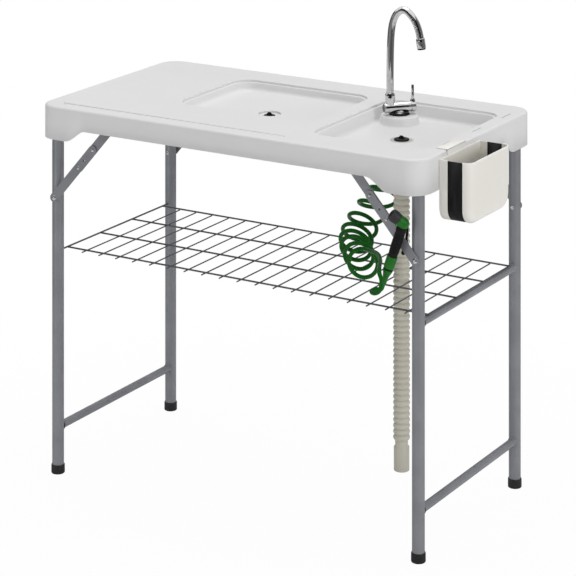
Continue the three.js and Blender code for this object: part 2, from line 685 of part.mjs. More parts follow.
for (const [name, basin] of [['big', bigBasin], ['small', smallBasin]]) {
  const seatZ = worktop.topZ - basin.depth - basin.recess + seatGap;
  const lipZ = seatZ + drain.flangeHeight;
  const endZ = worktop.topZ - basin.depth - drain.tail;
  const place = (geometry) => geometry.translate(basin.drainX, basin.drainY, 0);
  part(`waste_${name}`, place(turned([
    [drain.pipeBore, endZ], [drain.pipeR - drain.flangeHeight, endZ],
    [drain.pipeR, endZ + drain.flangeHeight], [drain.pipeR, seatZ], [drain.flangeR, seatZ],
    [drain.flangeR, lipZ], [drain.pipeBore, lipZ],
    [drain.pipeBore, endZ],
  ], 20)), materials.white);
  const nutTop = worktop.topZ - basin.depth - basinShape.skin - basin.recess - seatGap;
  const nut = hexNut(drain.nutR, drain.pipeR + seatGap, drain.nutHeight, nutTop);
  part(`waste_nut_${name}`, place(toGeometry(nut)), materials.white);
  const plugZ = lipZ + seatGap;
  const ridge = box(
    vec(-drain.ridgeLength / 2, -drain.ridgeWidth / 2, plugZ),
    vec(drain.ridgeLength / 2, drain.ridgeWidth / 2, plugZ + drain.ridgeHeight),
  );
  part(`plug_${name}`, place(toGeometry(joined(
    toSolid(turned([
      [0, plugZ - drain.stemLength], [drain.stemR, plugZ - drain.stemLength], [drain.stemR, plugZ],
      [drain.plugR, plugZ], [drain.plugR - drain.plugHeight / 2, plugZ + drain.plugHeight],
      [0, plugZ + drain.plugHeight],
    ], 20)),
    toSolid(ridge),
  ))), materials.black);
}

// The hose's ribs are rings of eight points at its crests and roots, over a bore with fewer rings.
function makeDrainHose() {
  const topZ = smallFloorZ - basinShape.skin - smallBasin.recess - drain.nutHeight - 3 * seatGap;
  const outline = [[hose.bore, hose.bottomZ], [hose.cuffR, hose.bottomZ]];
  outline.push([hose.cuffR, hose.bottomZ + hose.cuffLength]);
  const firstRib = hose.bottomZ + hose.cuffLength + hose.neckLength;
  outline.push([hose.rootR, firstRib]);
  const pitch = (topZ - hose.topCuff - firstRib) / hose.ribCount;
  for (let i = 0; i < hose.ribCount; i += 1) {
    outline.push([hose.crestR, firstRib + (i + 1 / 2) * pitch], [hose.rootR, firstRib + (i + 1) * pitch]);
  }
  // The top cuff slips over the waste, so its bore is the waste's size across the flats of the rings.
  const cuffBore = (drain.pipeR + seatGap) / Math.cos(Math.PI / hose.sides);
  const cuffZ = topZ - hose.topCuff;
  outline.push([hose.topCuffR, cuffZ + hose.ribPitch / 2], [hose.topCuffR, topZ], [cuffBore, topZ]);
  outline.push([cuffBore, cuffZ + hose.ribPitch], [hose.bore, cuffZ + hose.ribPitch / 2]);
  const boreRings = Math.ceil(hose.ribCount / hose.ribsPerBoreRing);
  for (let i = 1; i < boreRings; i += 1) {
    outline.push([hose.bore, cuffZ + (hose.bottomZ - cuffZ) * i / boreRings]);
  }
  outline.push([hose.bore, hose.bottomZ]);
  return turned(outline, hose.sides).translate(smallBasin.drainX, smallBasin.drainY, 0);
}
part('drain_hose', makeDrainHose(), materials.hoseCream);

// Tap: a cross body on the boss, a swivelling swan-neck spout at one end and a lever at the other.

const tapAxis = vec(Math.cos(radians(tap.axisDeg)), Math.sin(radians(tap.axisDeg)), 0);
const bodyZ = bossTopZ + tap.bodyRise;
const tapCentre = vec(tapBoss.x, tapBoss.y, bodyZ);
const onAxis = (share) => tapCentre.clone().add(tapAxis.clone().multiplyScalar(share * tap.bodyLength));
const gasketZ = bossTopZ + seatGap;
const neckZ = gasketZ + tap.gasketHeight + seatGap;
const tailEndZ = gasketZ - tap.tailLength;
const atBoss = (geometry) => geometry.translate(tapBoss.x, tapBoss.y, 0);

part('tap_gasket', atBoss(turned([
  [tap.tailR + seatGap, gasketZ], [tap.gasketR, gasketZ], [tap.gasketR, gasketZ + tap.gasketHeight],
  [tap.tailR + seatGap, gasketZ + tap.gasketHeight], [tap.tailR + seatGap, gasketZ],
], 20)), materials.black);

const spoutFoot = onAxis(-tap.spoutShare);
const collarTopZ = bodyZ + tap.bodyR - tap.collarSink + tap.collarHeight;

function makeTapBody() {
  const barrelStart = onAxis(-1 / 2);
  const barrelEnd = onAxis(1 / 2).sub(tapAxis.clone().multiplyScalar(tap.leverRing + seatGap));
  const socket = rod(
    vec(spoutFoot.x, spoutFoot.y, bodyZ), vec(spoutFoot.x, spoutFoot.y, bodyZ + tap.bodyR + overrun),
    tap.stemR + seatGap, 16,
  );
  return without(
    joined(
      toSolid(rod(barrelStart, barrelEnd, tap.bodyR, 24)),
      toSolid(rod(vec(tapBoss.x, tapBoss.y, neckZ), vec(tapBoss.x, tapBoss.y, bodyZ), tap.neckR, 20)),
      toSolid(rod(vec(tapBoss.x, tapBoss.y, tailEndZ), vec(tapBoss.x, tapBoss.y, bodyZ), tap.tailR, 16)),
    ),
    toSolid(socket),
  );
}
part('tap_body', makeTapBody(), materials.chrome);

// The lever's ring sits on the barrel's end, and its pin stands up from the ring.
function makeLever() {
  const ringStart = onAxis(1 / 2).sub(tapAxis.clone().multiplyScalar(tap.leverRing));
  const ringMiddle = onAxis(1 / 2).sub(tapAxis.clone().multiplyScalar(tap.leverRing / 2));
  const pinTop = ringMiddle.clone().setZ(bodyZ + tap.ringR + tap.leverHeight);
  return joined(
    toSolid(rod(ringStart, onAxis(1 / 2), tap.ringR, 24)),
    toSolid(rod(ringMiddle, pinTop, tap.leverR, 10)),
  );
}
part('tap_lever', makeLever(), materials.chrome);

// The spout's centreline in the upright plane that it points along.
const spoutOut = vec(Math.cos(radians(tap.spoutDeg)), Math.sin(radians(tap.spoutDeg)), 0);
const neck = new THREE.CatmullRomCurve3(neckLine.map(([reach, rise]) => (
  spoutOut.clone().multiplyScalar(reach).add(vec(spoutFoot.x, spoutFoot.y, collarTopZ + rise))
)));
const neckEnd = neck.getPoint(1);
const neckAim = neck.getTangent(1);

function makeSpout() {
  const track = neck.getSpacedPoints(18);
  const stemZ = bodyZ + tap.bodyR - tap.stemLength;
  const shoulderZ = bodyZ + tap.bodyR + seatGap;
  const collar = turned([
    [0, stemZ], [tap.stemR, stemZ], [tap.stemR, shoulderZ], [tap.collarR, shoulderZ],
    [tap.collarR, collarTopZ - tap.collarHeight / 3], [tap.tubeR + seatGap, collarTopZ], [0, collarTopZ],
  ], 20).translate(spoutFoot.x, spoutFoot.y, 0);
  const waterway = [
    vec(spoutFoot.x, spoutFoot.y, stemZ - overrun), ...track,
    neckEnd.clone().add(neckAim.clone().multiplyScalar(overrun)),
  ];
  return without(
    joined(toSolid(sweep(track, tap.tubeR, 12)), toSolid(collar)),
    toSolid(sweep(waterway, tap.tubeBore, 12)),
  );
}
part('spout', makeSpout(), materials.chrome);

const aeratorFoot = neckEnd.clone().sub(neckAim.clone().multiplyScalar(tap.aeratorLength / 2 - seatGap));
part('aerator', along(turned([
  [tap.tubeR + seatGap, 0], [tap.aeratorR, 0], [tap.aeratorR, tap.aeratorLength],
  [tap.tubeBore, tap.aeratorLength], [tap.tubeBore, tap.aeratorLength / 2],
  [tap.tubeR + seatGap, tap.aeratorLength / 2], [tap.tubeR + seatGap, 0],
], 16), aeratorFoot, neckAim), materials.chrome);

const tapNutZ = smallUnderZ - seatGap;
const tapNut = hexNut(tap.nutR, tap.tailR + seatGap, tap.nutHeight, tapNutZ);
part('tap_nut', atBoss(toGeometry(tapNut)), materials.zinc);

// Coiled hose: out of the joiner under the tap, round its loops, and over to the spray gun's tail.

const joinerZ = tailEndZ - seatGap - tapJoiner.length;
part('hose_joiner', atBoss(turned([
  [0, joinerZ], [tapJoiner.sleeveR, joinerZ], [tapJoiner.sleeveR, joinerZ + tapJoiner.sleeveLength],
  [tapJoiner.radius, joinerZ + tapJoiner.sleeveLength + tapJoiner.sleeveLength / 3],
  [tapJoiner.radius, joinerZ + tapJoiner.length], [0, joinerZ + tapJoiner.length],
], 16)), materials.lime);

// The route's points are chosen by hand, and only the loops come from a formula.
const gunY = -(lowerOuterY + gun.clear + gun.headR);
const coilAxis = new THREE.CatmullRomCurve3([
  vec(238, 118, 761), vec(229, 90, 709), vec(202, 50, 657), vec(198, 4, 616), vec(225, -46, 601), vec(284,
  -112, 591),
], false, 'catmullrom');
const firstFacing = vec(0.1, -0.35, -0.9);
const lastFacing = vec(0.15, -1, -0.1);
const coilLead = [vec(242, 133, joinerZ - seatGap), vec(242, 133, joinerZ - 8), vec(246, 134, joinerZ - 21)];
const coilTail = [
  vec(351, -176, 644), vec(385, -222, 646), vec(406, -264, 647), vec(423, -295, 642), vec(432, -302, 630),
  vec(433, -305, 616), vec(429, -307, 606), vec(420, -306, 600), vec(409, -302, 598), vec(403, -294, 599),
  vec(405, -285, 600), vec(412, -280, 600), vec(418.5, gunY, 601.5), vec(421.3, gunY, 605.4),
  vec(gun.x - 0.1, gunY, gun.z - seatGap),
];

// Each loop faces a little further to the front than the one before.
function coilPoints() {
  const points = [];
  const count = coil.turns * coil.pointsPerTurn;
  const upright = vec(0, 0, 1);
  for (let i = 0; i <= count; i += 1) {
    const share = i / count;
    const centre = coilAxis.getPoint(1 - (1 - share) ** coil.easing);
    const facing = firstFacing.clone().lerp(lastFacing, share).normalize();
    const side = facing.clone().cross(upright).normalize();
    const rise = side.clone().cross(facing);
    const angle = 2 * Math.PI * coil.turns * share + Math.PI;
    const across = side.multiplyScalar(coil.loopR * Math.cos(angle));
    points.push(centre.add(across).add(rise.multiplyScalar(coil.loopR * Math.sin(angle))));
  }
  return points;
}

const coilRoute = new THREE.CatmullRomCurve3(
  [...coilLead, ...coilPoints(), ...coilTail], false, 'catmullrom',
);
coilRoute.arcLengthDivisions = 4000;
const coilLength = coilRoute.getLength();
const coilStep = 2 * Math.PI * coil.loopR / coil.stepsPerTurn;
const coilTrack = coilRoute.getSpacedPoints(Math.round(coilLength / coilStep));

// The least gap between stretches of the hose that aren't neighbours.
function leastGap(points, radius) {
  const skip = Math.ceil(4 * radius / coilStep) + 1;
  let least = Infinity;
  for (let i = 0; i < points.length; i += 1) {
    for (let j = i + skip; j < points.length; j += 1) {
      least = Math.min(least, points[i].distanceTo(points[j]));
    }
  }
  return least - 2 * radius;
}
const coilGap = leastGap(coilTrack, coil.radius);
console.log(`coiled hose: ${coilLength.toFixed(0)} long, least gap ${coilGap.toFixed(2)}`);
part('coil_hose', sweep(coilTrack, coil.radius, coil.sides), materials.green);

// Spray gun: it hangs in front of the brace, its tail down and its dial towards the front.

const gunLean = radians(gun.leanDeg);
const gunAxis = vec(Math.sin(gunLean), 0, Math.cos(gunLean));
const gunTail = vec(gun.x, gunY, gun.z);
const onGun = (distance) => gunTail.clone().add(gunAxis.clone().multiplyScalar(distance));
const coneStart = gun.tailLength;
const ringStart = coneStart + gun.coneLength;
const joinerStart = ringStart + gun.ringLength;
const gripStart = joinerStart + gun.joinerLength;
const headStart = gripStart + gun.gripLength + seatGap;

part('gun_tail', along(turned([
  [0, 0], [gun.tailR, 0], [gun.tailR, gun.tailLength], [gun.coneR, coneStart + gun.coneLength - seatGap],
  [0, coneStart + gun.coneLength - seatGap],
], 16), onGun(0), gunAxis), materials.lime);
part('gun_seal_ring', along(turned([
  [0, 0], [gun.ringR, 0], [gun.ringR, gun.ringLength - seatGap], [0, gun.ringLength - seatGap],
], 16), onGun(ringStart), gunAxis), materials.black);
part('gun_joiner', along(turned([
  [0, 0], [gun.coneR, 0], [gun.joinerR, gun.joinerLength / 3], [gun.joinerR, gun.joinerLength - seatGap],
  [0, gun.joinerLength - seatGap],
], 16), onGun(joinerStart), gunAxis), materials.lime);
part('gun_grip', along(turned([
  [0, 0], [gun.waistR, 0], [gun.waistR, gun.gripLength / 4], [gun.gripR, gun.gripLength * 2 / 3],
  [gun.gripR, gun.gripLength], [0, gun.gripLength],
], 16), onGun(gripStart), gunAxis), materials.black);

// The head is a short elbow that turns to the nozzle's aim.
const nozzleAim = vec(-0.55, -0.55, 0.63).normalize();
const headCentre = onGun(headStart + gun.headLength * gun.turnShare);
const collarEnd = headCentre.clone().add(nozzleAim.clone().multiplyScalar(gun.headR + gun.collarLength));
const head = joined(
  toSolid(rod(onGun(headStart), onGun(headStart + gun.headLength), gun.headR, 16)),
  toSolid(rod(headCentre, collarEnd, gun.headR - seatGap, 16)),
);
part('gun_head', head, materials.lime);
const dialStart = collarEnd.clone().add(nozzleAim.clone().multiplyScalar(seatGap));
part('gun_dial', along(turned([
  [0, 0], [gun.dialR, 0], [gun.dialR, gun.dialLength - gun.dialBack], [gun.dialR - gun.dialBack,
  gun.dialLength],
  [gun.dialR / 2, gun.dialLength], [gun.dialR / 2, gun.dialLength - gun.dialBack], [0,
  gun.dialLength - gun.dialBack],
], 20), dialStart, nozzleAim), materials.black);

// The trigger hangs from the back of the head, over the brace's edge and down behind it, and so carries the
// gun.
const triggerLine = new THREE.QuadraticBezierCurve3(
  vec(472, -263.2, 752), vec(474, -247, 738), vec(457, -248, 676),
);
part('gun_trigger', sweep(triggerLine.getSpacedPoints(8), gun.triggerR, 8), materials.black);

// The origin is the middle of the floor under the whole outer box, which the bin makes longer on its side.
stand.position.x = -(binFrontX - halfLength) / 2;

export default stand;
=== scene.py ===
# %% [markdown]
# # A camping sink stand
# The real object is a blow-moulded worktop with two shallow basins on folding steel legs. A swan-neck tap, a wire
# shelf, a ribbed drain hose, a coiled spray hose and a little folding bin hang on it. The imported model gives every
# piece its place. This lesson gives the pieces the soft edges, ribs and finishes that plain solids lack.

# %% Load the fixed frame
import math

import bmesh
import bpy
from mathutils import Matrix, Vector


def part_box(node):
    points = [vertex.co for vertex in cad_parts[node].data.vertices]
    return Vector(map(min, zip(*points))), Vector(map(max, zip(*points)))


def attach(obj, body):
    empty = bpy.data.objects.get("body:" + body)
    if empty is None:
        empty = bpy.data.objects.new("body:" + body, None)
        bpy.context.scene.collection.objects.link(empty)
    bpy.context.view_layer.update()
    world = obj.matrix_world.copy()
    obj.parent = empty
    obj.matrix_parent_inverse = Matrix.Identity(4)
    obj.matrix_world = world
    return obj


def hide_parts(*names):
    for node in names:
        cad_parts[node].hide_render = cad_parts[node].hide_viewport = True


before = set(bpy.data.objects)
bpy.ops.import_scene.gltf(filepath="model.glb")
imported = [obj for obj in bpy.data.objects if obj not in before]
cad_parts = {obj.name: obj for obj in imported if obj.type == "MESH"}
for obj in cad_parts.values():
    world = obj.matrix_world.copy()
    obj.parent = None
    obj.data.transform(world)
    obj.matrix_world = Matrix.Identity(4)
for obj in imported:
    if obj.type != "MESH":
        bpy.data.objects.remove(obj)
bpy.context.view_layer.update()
worktop_low, worktop_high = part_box("worktop")
MM = 0.001
middle_x = (worktop_low.x + worktop_high.x) / 2

# %% [markdown]
# Every size below is in millimetres from the middle of the worktop, as on a workshop drawing. One matrix turns them
# into the frame's metres when a piece is finished, so that the drawing's numbers stay readable.

# %% From the drawing to the frame
TO_FRAME = Matrix.Translation((middle_x, 0, 0)) @ Matrix.Scale(MM, 4)


def spot(x, y, z):
    return TO_FRAME @ Vector((x, y, z))


TOP_Z = 900
DECK_LENGTH, DECK_WIDTH = 1050, 580
LEG_X, LEG_Y, LEG_R = 494.5, 245.5, 14.3
SIDES = {"left": -1, "right": 1}
ROWS = {"front": -1, "back": 1}

# %% [markdown]
# The photograph keeps every leg exactly upright, although it looks down on the worktop. That is how a view camera
# works: its back stays vertical while its lens looks down. Here a level picture plane is had by shearing the
# camera's frame through a parent, so that the shift stays at zero.

# %% The camera with an upright back
FOCAL_PX = 2428.03
HORIZON_PX = -471.17
FRAME_PX = 576
CAMERA_YAW = math.radians(31.0247)
CAMERA_AT = spot(3022.8, -5010.4, 2291.3)

level_ahead = Vector((-math.sin(CAMERA_YAW), math.cos(CAMERA_YAW), 0))
to_right = Vector((math.cos(CAMERA_YAW), math.sin(CAMERA_YAW), 0))
up = Vector((0, 0, 1))
drop_px = FRAME_PX / 2 - HORIZON_PX
aim = (level_ahead * FOCAL_PX - up * drop_px).normalized()

camera = bpy.data.objects.new("camera", bpy.data.cameras.new("camera"))
bpy.context.scene.collection.objects.link(camera)
bpy.context.scene.camera = camera
camera.data.sensor_width = 36
camera.data.lens = math.hypot(FOCAL_PX, drop_px) / FRAME_PX * camera.data.sensor_width
camera.data.clip_end = 60
camera.matrix_basis = Matrix.Translation(CAMERA_AT) @ aim.to_track_quat("-Z", "Y").to_matrix().to_4x4()

upright_back = Matrix((to_right, up, -aim)).transposed().to_4x4()
holder = bpy.data.objects.new("camera_stand", None)
bpy.context.scene.collection.objects.link(holder)
camera.parent = holder
camera.matrix_parent_inverse = Matrix.Translation(CAMERA_AT) @ upright_back @ camera.matrix_basis.inverted()
print("lens:", round(camera.data.lens, 1), "mm")

# %% [markdown]
# Shader maths reads best as plain expressions. `Signal` wraps one socket, so that `1 - grain * 0.2` adds its Math
# nodes by itself. `Finish` is a material in the making: `node` adds any node with its settings and inputs.


# %% Shader maths as expressions
class Signal:
    def __init__(self, finish, socket):
        self.finish, self.socket = finish, socket

    def maths(self, operation, *values):
        return self.finish.node("Math", {"operation": operation}, *values)

    def __add__(self, other):
        return self.maths("ADD", self, other)

    def __sub__(self, other):
        return self.maths("SUBTRACT", self, other)

    def __rsub__(self, other):
        return self.maths("SUBTRACT", other, self)

    def __mul__(self, other):
        return self.maths("MULTIPLY", self, other)

    def __pow__(self, other):
        return self.maths("POWER", self, other)

    def above(self, low, high):
        """0 below low, 1 above high, and smooth between them."""
        return self.finish.node("MapRange", {"interpolation_type": "SMOOTHSTEP"}, self, low, high, 0.0, 1.0)

    __radd__ = __add__
    __rmul__ = __mul__


class Finish:
    def __init__(self, name):
        self.material = bpy.data.materials.new(name)
        self.material.use_nodes = True
        self.tree = self.material.node_tree
        self.shader = self.tree.nodes["Principled BSDF"]
        self.where = self.node("TexCoord", output="Object")

    def node(self, kind, settings=None, *values, output=0, **named):
        made = self.tree.nodes.new("ShaderNode" + kind)
        for key, value in (settings or {}).items():
            setattr(made, key, value)
        for index, value in enumerate(values):
            self.plug(made.inputs[index], value)
        for key, value in named.items():
            self.plug(made.inputs[key.replace("_", " ")], value)
        return Signal(self, made.outputs[output])

    def plug(self, socket, value):
        if isinstance(value, Signal):
            self.tree.links.new(value.socket, socket)
        else:
            socket.default_value = value

    def noise(self, size_mm, detail=2.0, stretch=(1, 1, 1)):
        """A noise whose blotches are about size_mm across."""
        where = self.where
        if stretch != (1, 1, 1):
            where = self.node("Mapping", None, where, Scale=stretch)
        return self.node("TexNoise", None, Vector=where, Scale=1000 / size_mm, Detail=detail)

    def tint(self, factor, first, second):
        made = self.tree.nodes.new("ShaderNodeMix")
        made.data_type = "RGBA"
        for index, value in ((0, factor), (6, first), (7, second)):
            self.plug(made.inputs[index], value)
        return Signal(self, made.outputs[2])

    def bump(self, height, depth_mm, strength=1.0):
        return self.node("Bump", None, Strength=strength, Distance=depth_mm * MM, Height=height, output="Normal")

    def done(self, **sockets):
        for key, value in sockets.items():
            self.plug(self.shader.inputs[key.replace("_", " ")], value)
        return self.material


def rgb(red, green, blue):
    return (red, green, blue, 1.0)


# %% [markdown]
# The worktop is white polyethylene. It is neither glossy nor chalky: a fine orange-peel grain from the mould breaks
# its reflections, and a slow drift in tone keeps a big flat top from looking like paper.


# %% White moulded plastic
def moulded_plastic(name, light, dark, rough, grain_mm=0.9, grain_depth=0.02, shine=0.5):
    finish = Finish(name)
    drift = finish.noise(150, 2.0)
    grain = finish.noise(grain_mm, 2.0)
    specks = finish.noise(4, 4.0).above(0.68, 0.76)
    colour = finish.tint(drift.above(0.3, 0.7), light, dark)
    colour = finish.tint(specks * 0.12, colour, rgb(dark[0] * 0.8, dark[1] * 0.8, dark[2] * 0.8))
    return finish.done(
        Base_Color=colour,
        Roughness=rough + (grain - 0.5) * 0.2 + (drift - 0.5) * 0.03,
        Specular_IOR_Level=shine,
        Normal=finish.bump(grain + specks * 0.2, grain_depth),
    )


worktop_white = moulded_plastic("worktop_white", rgb(0.80, 0.80, 0.80), rgb(0.788, 0.788, 0.788), 0.5)
# A brighter copy of the bin's cream: painted light on the hook's up-facing plate and a painted highlight along the
# bin's rim lips.
painted_light_cream = moulded_plastic("painted_light_cream", rgb(0.95, 0.94, 0.90), rgb(0.94, 0.93, 0.89), 0.4, 0.7, 0.012)
bin_cream = moulded_plastic("bin_cream", rgb(0.90, 0.88, 0.82), rgb(0.88, 0.86, 0.80), 0.4, 0.7, 0.012)
hose_cream = moulded_plastic("hose_cream", rgb(0.63, 0.61, 0.52), rgb(0.58, 0.56, 0.47), 0.45, 1.4, 0.03)
fitting_white = moulded_plastic("fitting_white", rgb(0.60, 0.59, 0.55), rgb(0.55, 0.54, 0.50), 0.35)
BLACK, SOOT = rgb(0.012, 0.012, 0.013), rgb(0.008, 0.008, 0.009)
fitting_black = moulded_plastic("fitting_black", BLACK, SOOT, 0.32, 0.5, 0.02, 0.1)
foot_black = moulded_plastic("foot_black", rgb(0.022, 0.022, 0.023), BLACK, 0.5, 0.6, 0.04, 0.35)
band_black = moulded_plastic("band_black", BLACK, SOOT, 0.5, 0.4, 0.02, 0.2)
dial_black = moulded_plastic("dial_black", rgb(0.04, 0.04, 0.042), rgb(0.03, 0.03, 0.032), 0.45, 0.5, 0.03, 0.4)
fitting_green = moulded_plastic("fitting_green", rgb(0.013, 0.165, 0.014), rgb(0.011, 0.145, 0.012), 0.3, 0.8, 0.01, 0.3)
coil_green = moulded_plastic("coil_green", rgb(0.006, 0.125, 0.008), rgb(0.004, 0.09, 0.006), 0.28, 1.6, 0.02, 0.15)

# %% [markdown]
# Legs, bars, braces and wires are powder-coated steel. Powder flows into a slightly pebbled skin, duller in the
# hollows, and picks up faint rubs. The brackets are bare zinc plate with a brushed, cloudy sheen.


# %% Powder coat, zinc and chrome
def powder_coat(name, tone, rough, pebble_mm=1.2):
    finish = Finish(name)
    pebbles = finish.noise(pebble_mm, 2.0)
    drift = finish.noise(60, 3.0)
    rubs = finish.noise(9, 5.0, (1, 1, 0.12)).above(0.68, 0.8)
    dull = rgb(tone[0] * 0.88, tone[1] * 0.88, tone[2] * 0.88)
    bright = rgb(tone[0] * 1.25, tone[1] * 1.25, tone[2] * 1.25)
    colour = finish.tint(drift.above(0.35, 0.65), tone, dull)
    colour = finish.tint(rubs * 0.35, colour, bright)
    return finish.done(
        Base_Color=colour,
        Metallic=0.25,
        Roughness=rough + (pebbles - 0.5) * 0.25 + (drift - 0.5) * 0.1,
        Normal=finish.bump(pebbles, 0.03),
    )


def bare_metal(name, tone, rough, streak, depth=0.004):
    finish = Finish(name)
    clouds = finish.noise(25, 4.0)
    streaks = finish.noise(2.5, 3.0, streak)
    dull = rgb(tone[0] * 0.85, tone[1] * 0.85, tone[2] * 0.86)
    return finish.done(
        Base_Color=finish.tint(clouds.above(0.3, 0.75), tone, dull),
        Metallic=1.0,
        Roughness=rough + (streaks - 0.5) * rough + (clouds - 0.5) * rough * 0.6,
        Normal=finish.bump(streaks, depth),
    )


leg_grey = powder_coat("leg_grey", rgb(0.285, 0.292, 0.318), 0.42)
brace_grey = powder_coat("brace_grey", rgb(0.275, 0.28, 0.30), 0.45)
wire_grey = powder_coat("wire_grey", rgb(0.13, 0.133, 0.145), 0.45, 0.8)
zinc_plate = bare_metal("zinc_plate", rgb(0.62, 0.62, 0.63), 0.34, (1, 1, 0.2))
rivet_steel = bare_metal("rivet_steel", rgb(0.78, 0.78, 0.79), 0.2, (1, 1, 1))
tap_chrome = bare_metal("tap_chrome", rgb(0.72, 0.72, 0.73), 0.05, (1, 1, 0.3), 0.0004)

# %% [markdown]
# Each helper below is one move at the bench. `turned` spins a profile into a round piece. `plate` is a rounded
# rectangle, `disc` a circle, and `fill` closes a flat face round its holes. `finished` carries a mesh to the frame.


# %% Bench moves
def turned(profile, foot=(0, 0, 0), direction=(0, 0, 1), steps=48):
    bm = bmesh.new()
    ring = [bm.verts.new((radius, 0, height)) for radius, height in profile]
    edges = [bm.edges.new(pair) for pair in zip(ring, ring[1:])]
    bmesh.ops.spin(
        bm, geom=ring + edges, cent=(0, 0, 0), axis=(0, 0, 1), angle=math.tau, steps=steps, use_merge=True
    )
    bmesh.ops.remove_doubles(bm, verts=bm.verts, dist=1e-4)
    bmesh.ops.recalc_face_normals(bm, faces=bm.faces)
    return aimed(bm, foot, direction)


def aimed(bm, foot, direction):
    turn = Vector((0, 0, 1)).rotation_difference(Vector(direction)).to_matrix().to_4x4()
    bmesh.ops.transform(bm, matrix=Matrix.Translation(foot) @ turn, verts=bm.verts)
    return bm


def plate(left, right, front, back, radius, z=0, segments=10, corners=4):
    bm = bmesh.new()
    bmesh.ops.create_grid(bm, x_segments=1, y_segments=1, size=0.5)
    bmesh.ops.scale(bm, vec=(right - left, back - front, 1), verts=bm.verts)
    bmesh.ops.translate(bm, vec=((left + right) / 2, (front + back) / 2, z), verts=bm.verts)
    chosen = [v for v in bm.verts if corners == 4 or v.co.y < (front + back) / 2]
    bmesh.ops.bevel(
        bm, geom=chosen, affect="VERTICES", offset=radius, segments=segments, profile=0.5, material=-1
    )
    return bm


def disc(x, y, radius, z=0, steps=32):
    bm = bmesh.new()
    bmesh.ops.create_circle(bm, cap_ends=True, radius=radius, segments=steps)
    bmesh.ops.translate(bm, vec=(x, y, z), verts=bm.verts)
    return bm


def box(low, high, soften=0.0, segments=3):
    bm = bmesh.new()
    bmesh.ops.create_cube(bm, size=1)
    low, high = Vector(low), Vector(high)
    bmesh.ops.scale(bm, vec=high - low, verts=bm.verts)
    bmesh.ops.translate(bm, vec=(low + high) / 2, verts=bm.verts)
    if soften:
        bmesh.ops.bevel(
            bm, geom=bm.edges[:], affect="EDGES", offset=soften, segments=segments, profile=0.5, material=-1
        )
    return bm


def step_in(bm, face, moves):
    """Insets one face again and again; each move is (inwards, upwards)."""
    for inwards, upwards in moves:
        bmesh.ops.inset_region(
            bm, faces=[face], thickness=inwards, depth=upwards, use_even_offset=True, use_boundary=True
        )
    return face


def joined(first, *others):
    for other in others:
        passing = bpy.data.meshes.new("passing")
        other.to_mesh(passing)
        first.from_mesh(passing)
        bpy.data.meshes.remove(passing)
        other.free()
    return first


def fill(bm, z):
    """Closes the open loops at one height as one flat face with holes."""
    rim = [e for e in bm.edges if len(e.link_faces) < 2 and all(abs(v.co.z - z) < 1e-3 for v in e.verts)]
    made = bmesh.ops.triangle_fill(bm, edges=rim, use_beauty=True, normal=(0, 0, 1))
    return [g for g in made["geom"] if isinstance(g, bmesh.types.BMFace)]


def finished(name, bm, finish, body="stand", replacing=(), soften=0.0, crease=35, wall=0.0):
    bmesh.ops.transform(bm, matrix=TO_FRAME, verts=bm.verts)
    mesh = bpy.data.meshes.new(name)
    bm.to_mesh(mesh)
    bm.free()
    mesh.materials.append(finish)
    mesh.shade_smooth()
    mesh.set_sharp_from_angle(angle=math.radians(crease))
    made = bpy.data.objects.new(name, mesh)
    bpy.context.scene.collection.objects.link(made)
    if wall:
        shell = made.modifiers.new("wall", "SOLIDIFY")
        shell.thickness = wall * MM
        shell.offset = -1
        shell.use_even_offset = True
    if soften:
        edge = made.modifiers.new("soft_edges", "BEVEL")
        edge.width = soften * MM
        edge.segments = 2
        edge.limit_method = "ANGLE"
        edge.angle_limit = math.radians(crease)
        edge.harden_normals = True
    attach(made, body)
    if replacing:
        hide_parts(*replacing)
    return made


# %% [markdown]
# It leaves its joiner under the tap and winds down in loops that face further and further to the front. Then it
# crosses to the brace, where it folds back up into the tail of the spray gun. The loops come from a formula. The free
# stretches are a few points that a hand could bend the hose through.

# %% The coiled hose
HOSE_R = 4.9
TURNS, POINTS_PER_TURN, LOOP_R = 8.75, 12, 38
GUN_Y = -279.5
GUN_TAIL = Vector((424.7, GUN_Y, 615))
JOINER_Z = 807.5
COIL_AXIS = [(238, 118, 761), (229, 90, 709), (202, 50, 657), (198, 4, 616), (225, -46, 601), (284, -112, 591)]
FIRST_FACING, LAST_FACING = Vector((0.1, -0.35, -0.9)), Vector((0.15, -1, -0.1))
LEAD_IN = [(242, 133, JOINER_Z - 0.3), (242, 133, JOINER_Z - 8), (246, 134, JOINER_Z - 21)]
RUN_OUT = [
    (351, -176, 644), (385, -222, 646), (406, -264, 647), (423, -295, 642), (432, -302, 630), (433, -305, 616),
    (429, -307, 606), (420, -306, 600), (409, -302, 598), (403, -294, 599), (405, -285, 600), (412, -280, 600),
    (418.5, GUN_Y, 601.5), (421.3, GUN_Y, 605.4), (424.6, GUN_Y, 614.7),
]


def smooth_between(points, share):
    """A point on the smooth line through all the points, at a share of their count."""
    place = share * (len(points) - 1)
    index = min(int(place), len(points) - 2)
    t = place - index
    b, c = Vector(points[index]), Vector(points[index + 1])
    a = Vector(points[index - 1]) if index else 2 * b - c
    d = Vector(points[index + 2]) if index + 2 < len(points) else 2 * c - b
    return 0.5 * (2 * b + (c - a) * t + (2 * a - 5 * b + 4 * c - d) * t**2 + (3 * b - a - 3 * c + d) * t**3)


def coil_route():
    route = [Vector(p) for p in LEAD_IN]
    count = round(TURNS * POINTS_PER_TURN)
    for i in range(count + 1):
        share = i / count
        centre = smooth_between(COIL_AXIS, 1 - (1 - share) ** 1.15)
        facing = FIRST_FACING.lerp(LAST_FACING, share).normalized()
        side = facing.cross(up).normalized()
        rise = side.cross(facing)
        angle = math.tau * TURNS * share + math.pi
        route.append(centre + (side * math.cos(angle) + rise * math.sin(angle)) * LOOP_R)
    return route + [Vector(p) for p in RUN_OUT]


